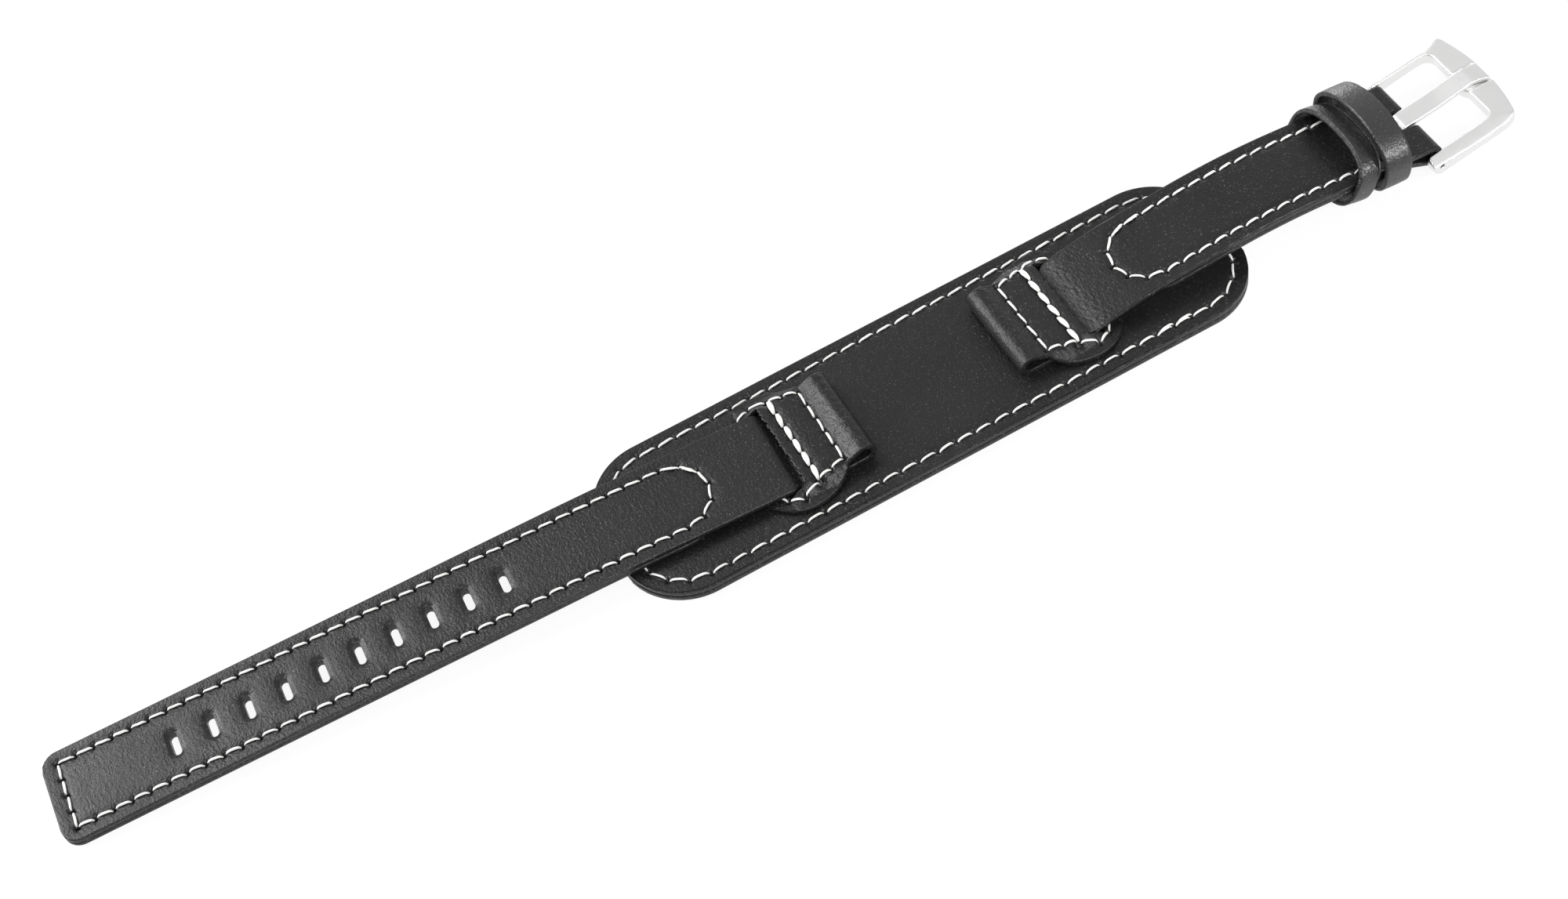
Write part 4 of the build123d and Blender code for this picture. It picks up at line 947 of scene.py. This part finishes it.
def keeper_loop(name, edge_x, bottom, top, half_width, tilt, width, run_angle, upper_power, lower_power):
    """A keeper as a ring of leather in its leaning plane, swept over its width."""
    angle = np.linspace(0, 2 * math.pi, 161)[:-1]
    power = 2 / np.where(np.sin(angle) > 0, upper_power, lower_power)
    across = half_width * np.abs(np.cos(angle)) ** power * np.sign(np.cos(angle))
    height = (top - bottom) / 2 * np.abs(np.sin(angle)) ** power * np.sign(np.sin(angle))
    line = np.stack([across, height], -1)
    closed = np.concatenate([line, line[:1]])
    run = np.concatenate([[0], np.cumsum(np.linalg.norm(np.diff(closed, axis=0), axis=1))])
    even = np.linspace(0, run[-1], 141)[:-1]
    across, height = np.interp(even, run, closed[:, 0]), np.interp(even, run, closed[:, 1])
    slope_a = np.roll(across, -1) - np.roll(across, 1)
    slope_h = np.roll(height, -1) - np.roll(height, 1)
    length = np.hypot(slope_a, slope_h)
    out_a, out_h = slope_h / length, -slope_a / length
    lean = math.radians(tilt)
    up_way = np.array([math.sin(lean), 0, math.cos(lean)])
    across_way = np.array([0, 1.0, 0])
    sweep = np.array([math.cos(math.radians(run_angle)), 0, -math.sin(math.radians(run_angle))])
    base = np.array([edge_x, 0, (top + bottom) / 2])
    steps = closing_rows(0, width, fine=0.2, step=0.3)
    ring = base + across[:, None] * across_way + height[:, None] * up_way
    out = out_a[:, None] * across_way + out_h[:, None] * up_way
    face = ring[None] + steps[:, None, None] * sweep
    crown_height = 0.06
    crown = crown_height * np.sin(np.pi * steps / width)[:, None] + even[None, :] * 0
    return leather_sheet(name, face, np.repeat(out[None], len(steps), 0), keeper_leather,
                         wrap=True, dent=crown_height - crown, edge=0.2, hide=keeper_hide)


floating = keeper_loop(
    "floating_keeper_leather", edge_x=74.62, bottom=0.48, top=11.24, half_width=9.3, tilt=27.7,
    width=4.0, run_angle=15.0, upper_power=2.5, lower_power=3.2,
)
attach(floating, "floating_keeper")
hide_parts("floating_keeper")
fixed = keeper_loop(
    "fixed_keeper_leather", edge_x=79.7, bottom=0.77, top=12.67, half_width=10.05, tilt=5.4,
    width=5.0, run_angle=5.4, upper_power=2.0, lower_power=3.5,
)
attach(fixed, "short_strap")
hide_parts("fixed_keeper")

# The buckle, its tongue and the spring bar are steel. The buckle and the tongue have round
# tumbled edges and a fine even blast all over. The bar's tube, pins and spring are smoother.
steel_blast = bpy.data.node_groups.new("steel_blast", "ShaderNodeTree")
steel_blast.interface.new_socket("Place", in_out="INPUT", socket_type="NodeSocketVector")
for socket_name in ("Blast", "Clouds"):
    steel_blast.interface.new_socket(socket_name, in_out="OUTPUT", socket_type="NodeSocketFloat")
blast_in = steel_blast.nodes.new("NodeGroupInput")
blast_out = steel_blast.nodes.new("NodeGroupOutput")
for socket_name, values in (("Blast", {"Scale": 6000.0, "Detail": 2.0}), ("Clouds", {"Scale": 260.0})):
    noise = node_of(steel_blast.nodes, "TexNoise", values)
    steel_blast.links.new(blast_in.outputs["Place"], noise.inputs["Vector"])
    steel_blast.links.new(noise.outputs[0], blast_out.inputs[socket_name])


def steel(name, colour, roughness, relief_depth):
    """A plain metal with a fine blasted or turned surface."""
    metal = bpy.data.materials.new(name)
    metal.use_nodes = True
    nodes, links = metal.node_tree.nodes, metal.node_tree.links
    surface = nodes["Principled BSDF"]
    surface.inputs["Metallic"].default_value = 1.0
    where = node_of(nodes, "TexCoord")
    blast = nodes.new("ShaderNodeGroup")
    blast.node_tree = steel_blast
    tone = colour_mix(nodes, [part * 0.96 for part in colour], colour)
    span = node_of(nodes, "MapRange", {"To Min": roughness - 0.05, "To Max": roughness + 0.05})
    relief = node_of(nodes, "Bump", {"Strength": 0.25, "Distance": relief_depth})
    links.new(where.outputs["Object"], blast.inputs["Place"])
    links.new(blast.outputs["Clouds"], tone.inputs["Factor"])
    links.new(blast.outputs["Clouds"], span.inputs["Value"])
    links.new(tone.outputs["Result"], surface.inputs["Base Color"])
    links.new(span.outputs["Result"], surface.inputs["Roughness"])
    links.new(blast.outputs["Blast"], relief.inputs["Height"])
    links.new(relief.outputs["Normal"], surface.inputs["Normal"])
    return metal


satin_steel = steel("satin_steel", (0.85, 0.85, 0.845), roughness=0.36, relief_depth=0.00003)
bar_steel = steel("bar_steel", (0.6, 0.6, 0.6), roughness=0.25, relief_depth=0.00001)
cast_grid = 0.11
for node, smoothing in (("buckle_frame", 45), ("buckle_tongue", 14)):
    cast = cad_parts[node]
    cast.data.materials.clear()
    cast.data.materials.append(satin_steel)
    blend_in = cast.modifiers.new("even_grid", "REMESH")
    blend_in.mode = "VOXEL"
    blend_in.voxel_size = cast_grid * mm
    blend_in.use_smooth_shade = True
    soften = cast.modifiers.new("tumbled_edges", "SMOOTH")
    soften.factor = 0.5
    soften.iterations = smoothing
for node in ("bar_tube", "bar_pin_near", "bar_pin_far", "bar_spring"):
    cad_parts[node].data.materials.clear()
    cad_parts[node].data.materials.append(bar_steel)
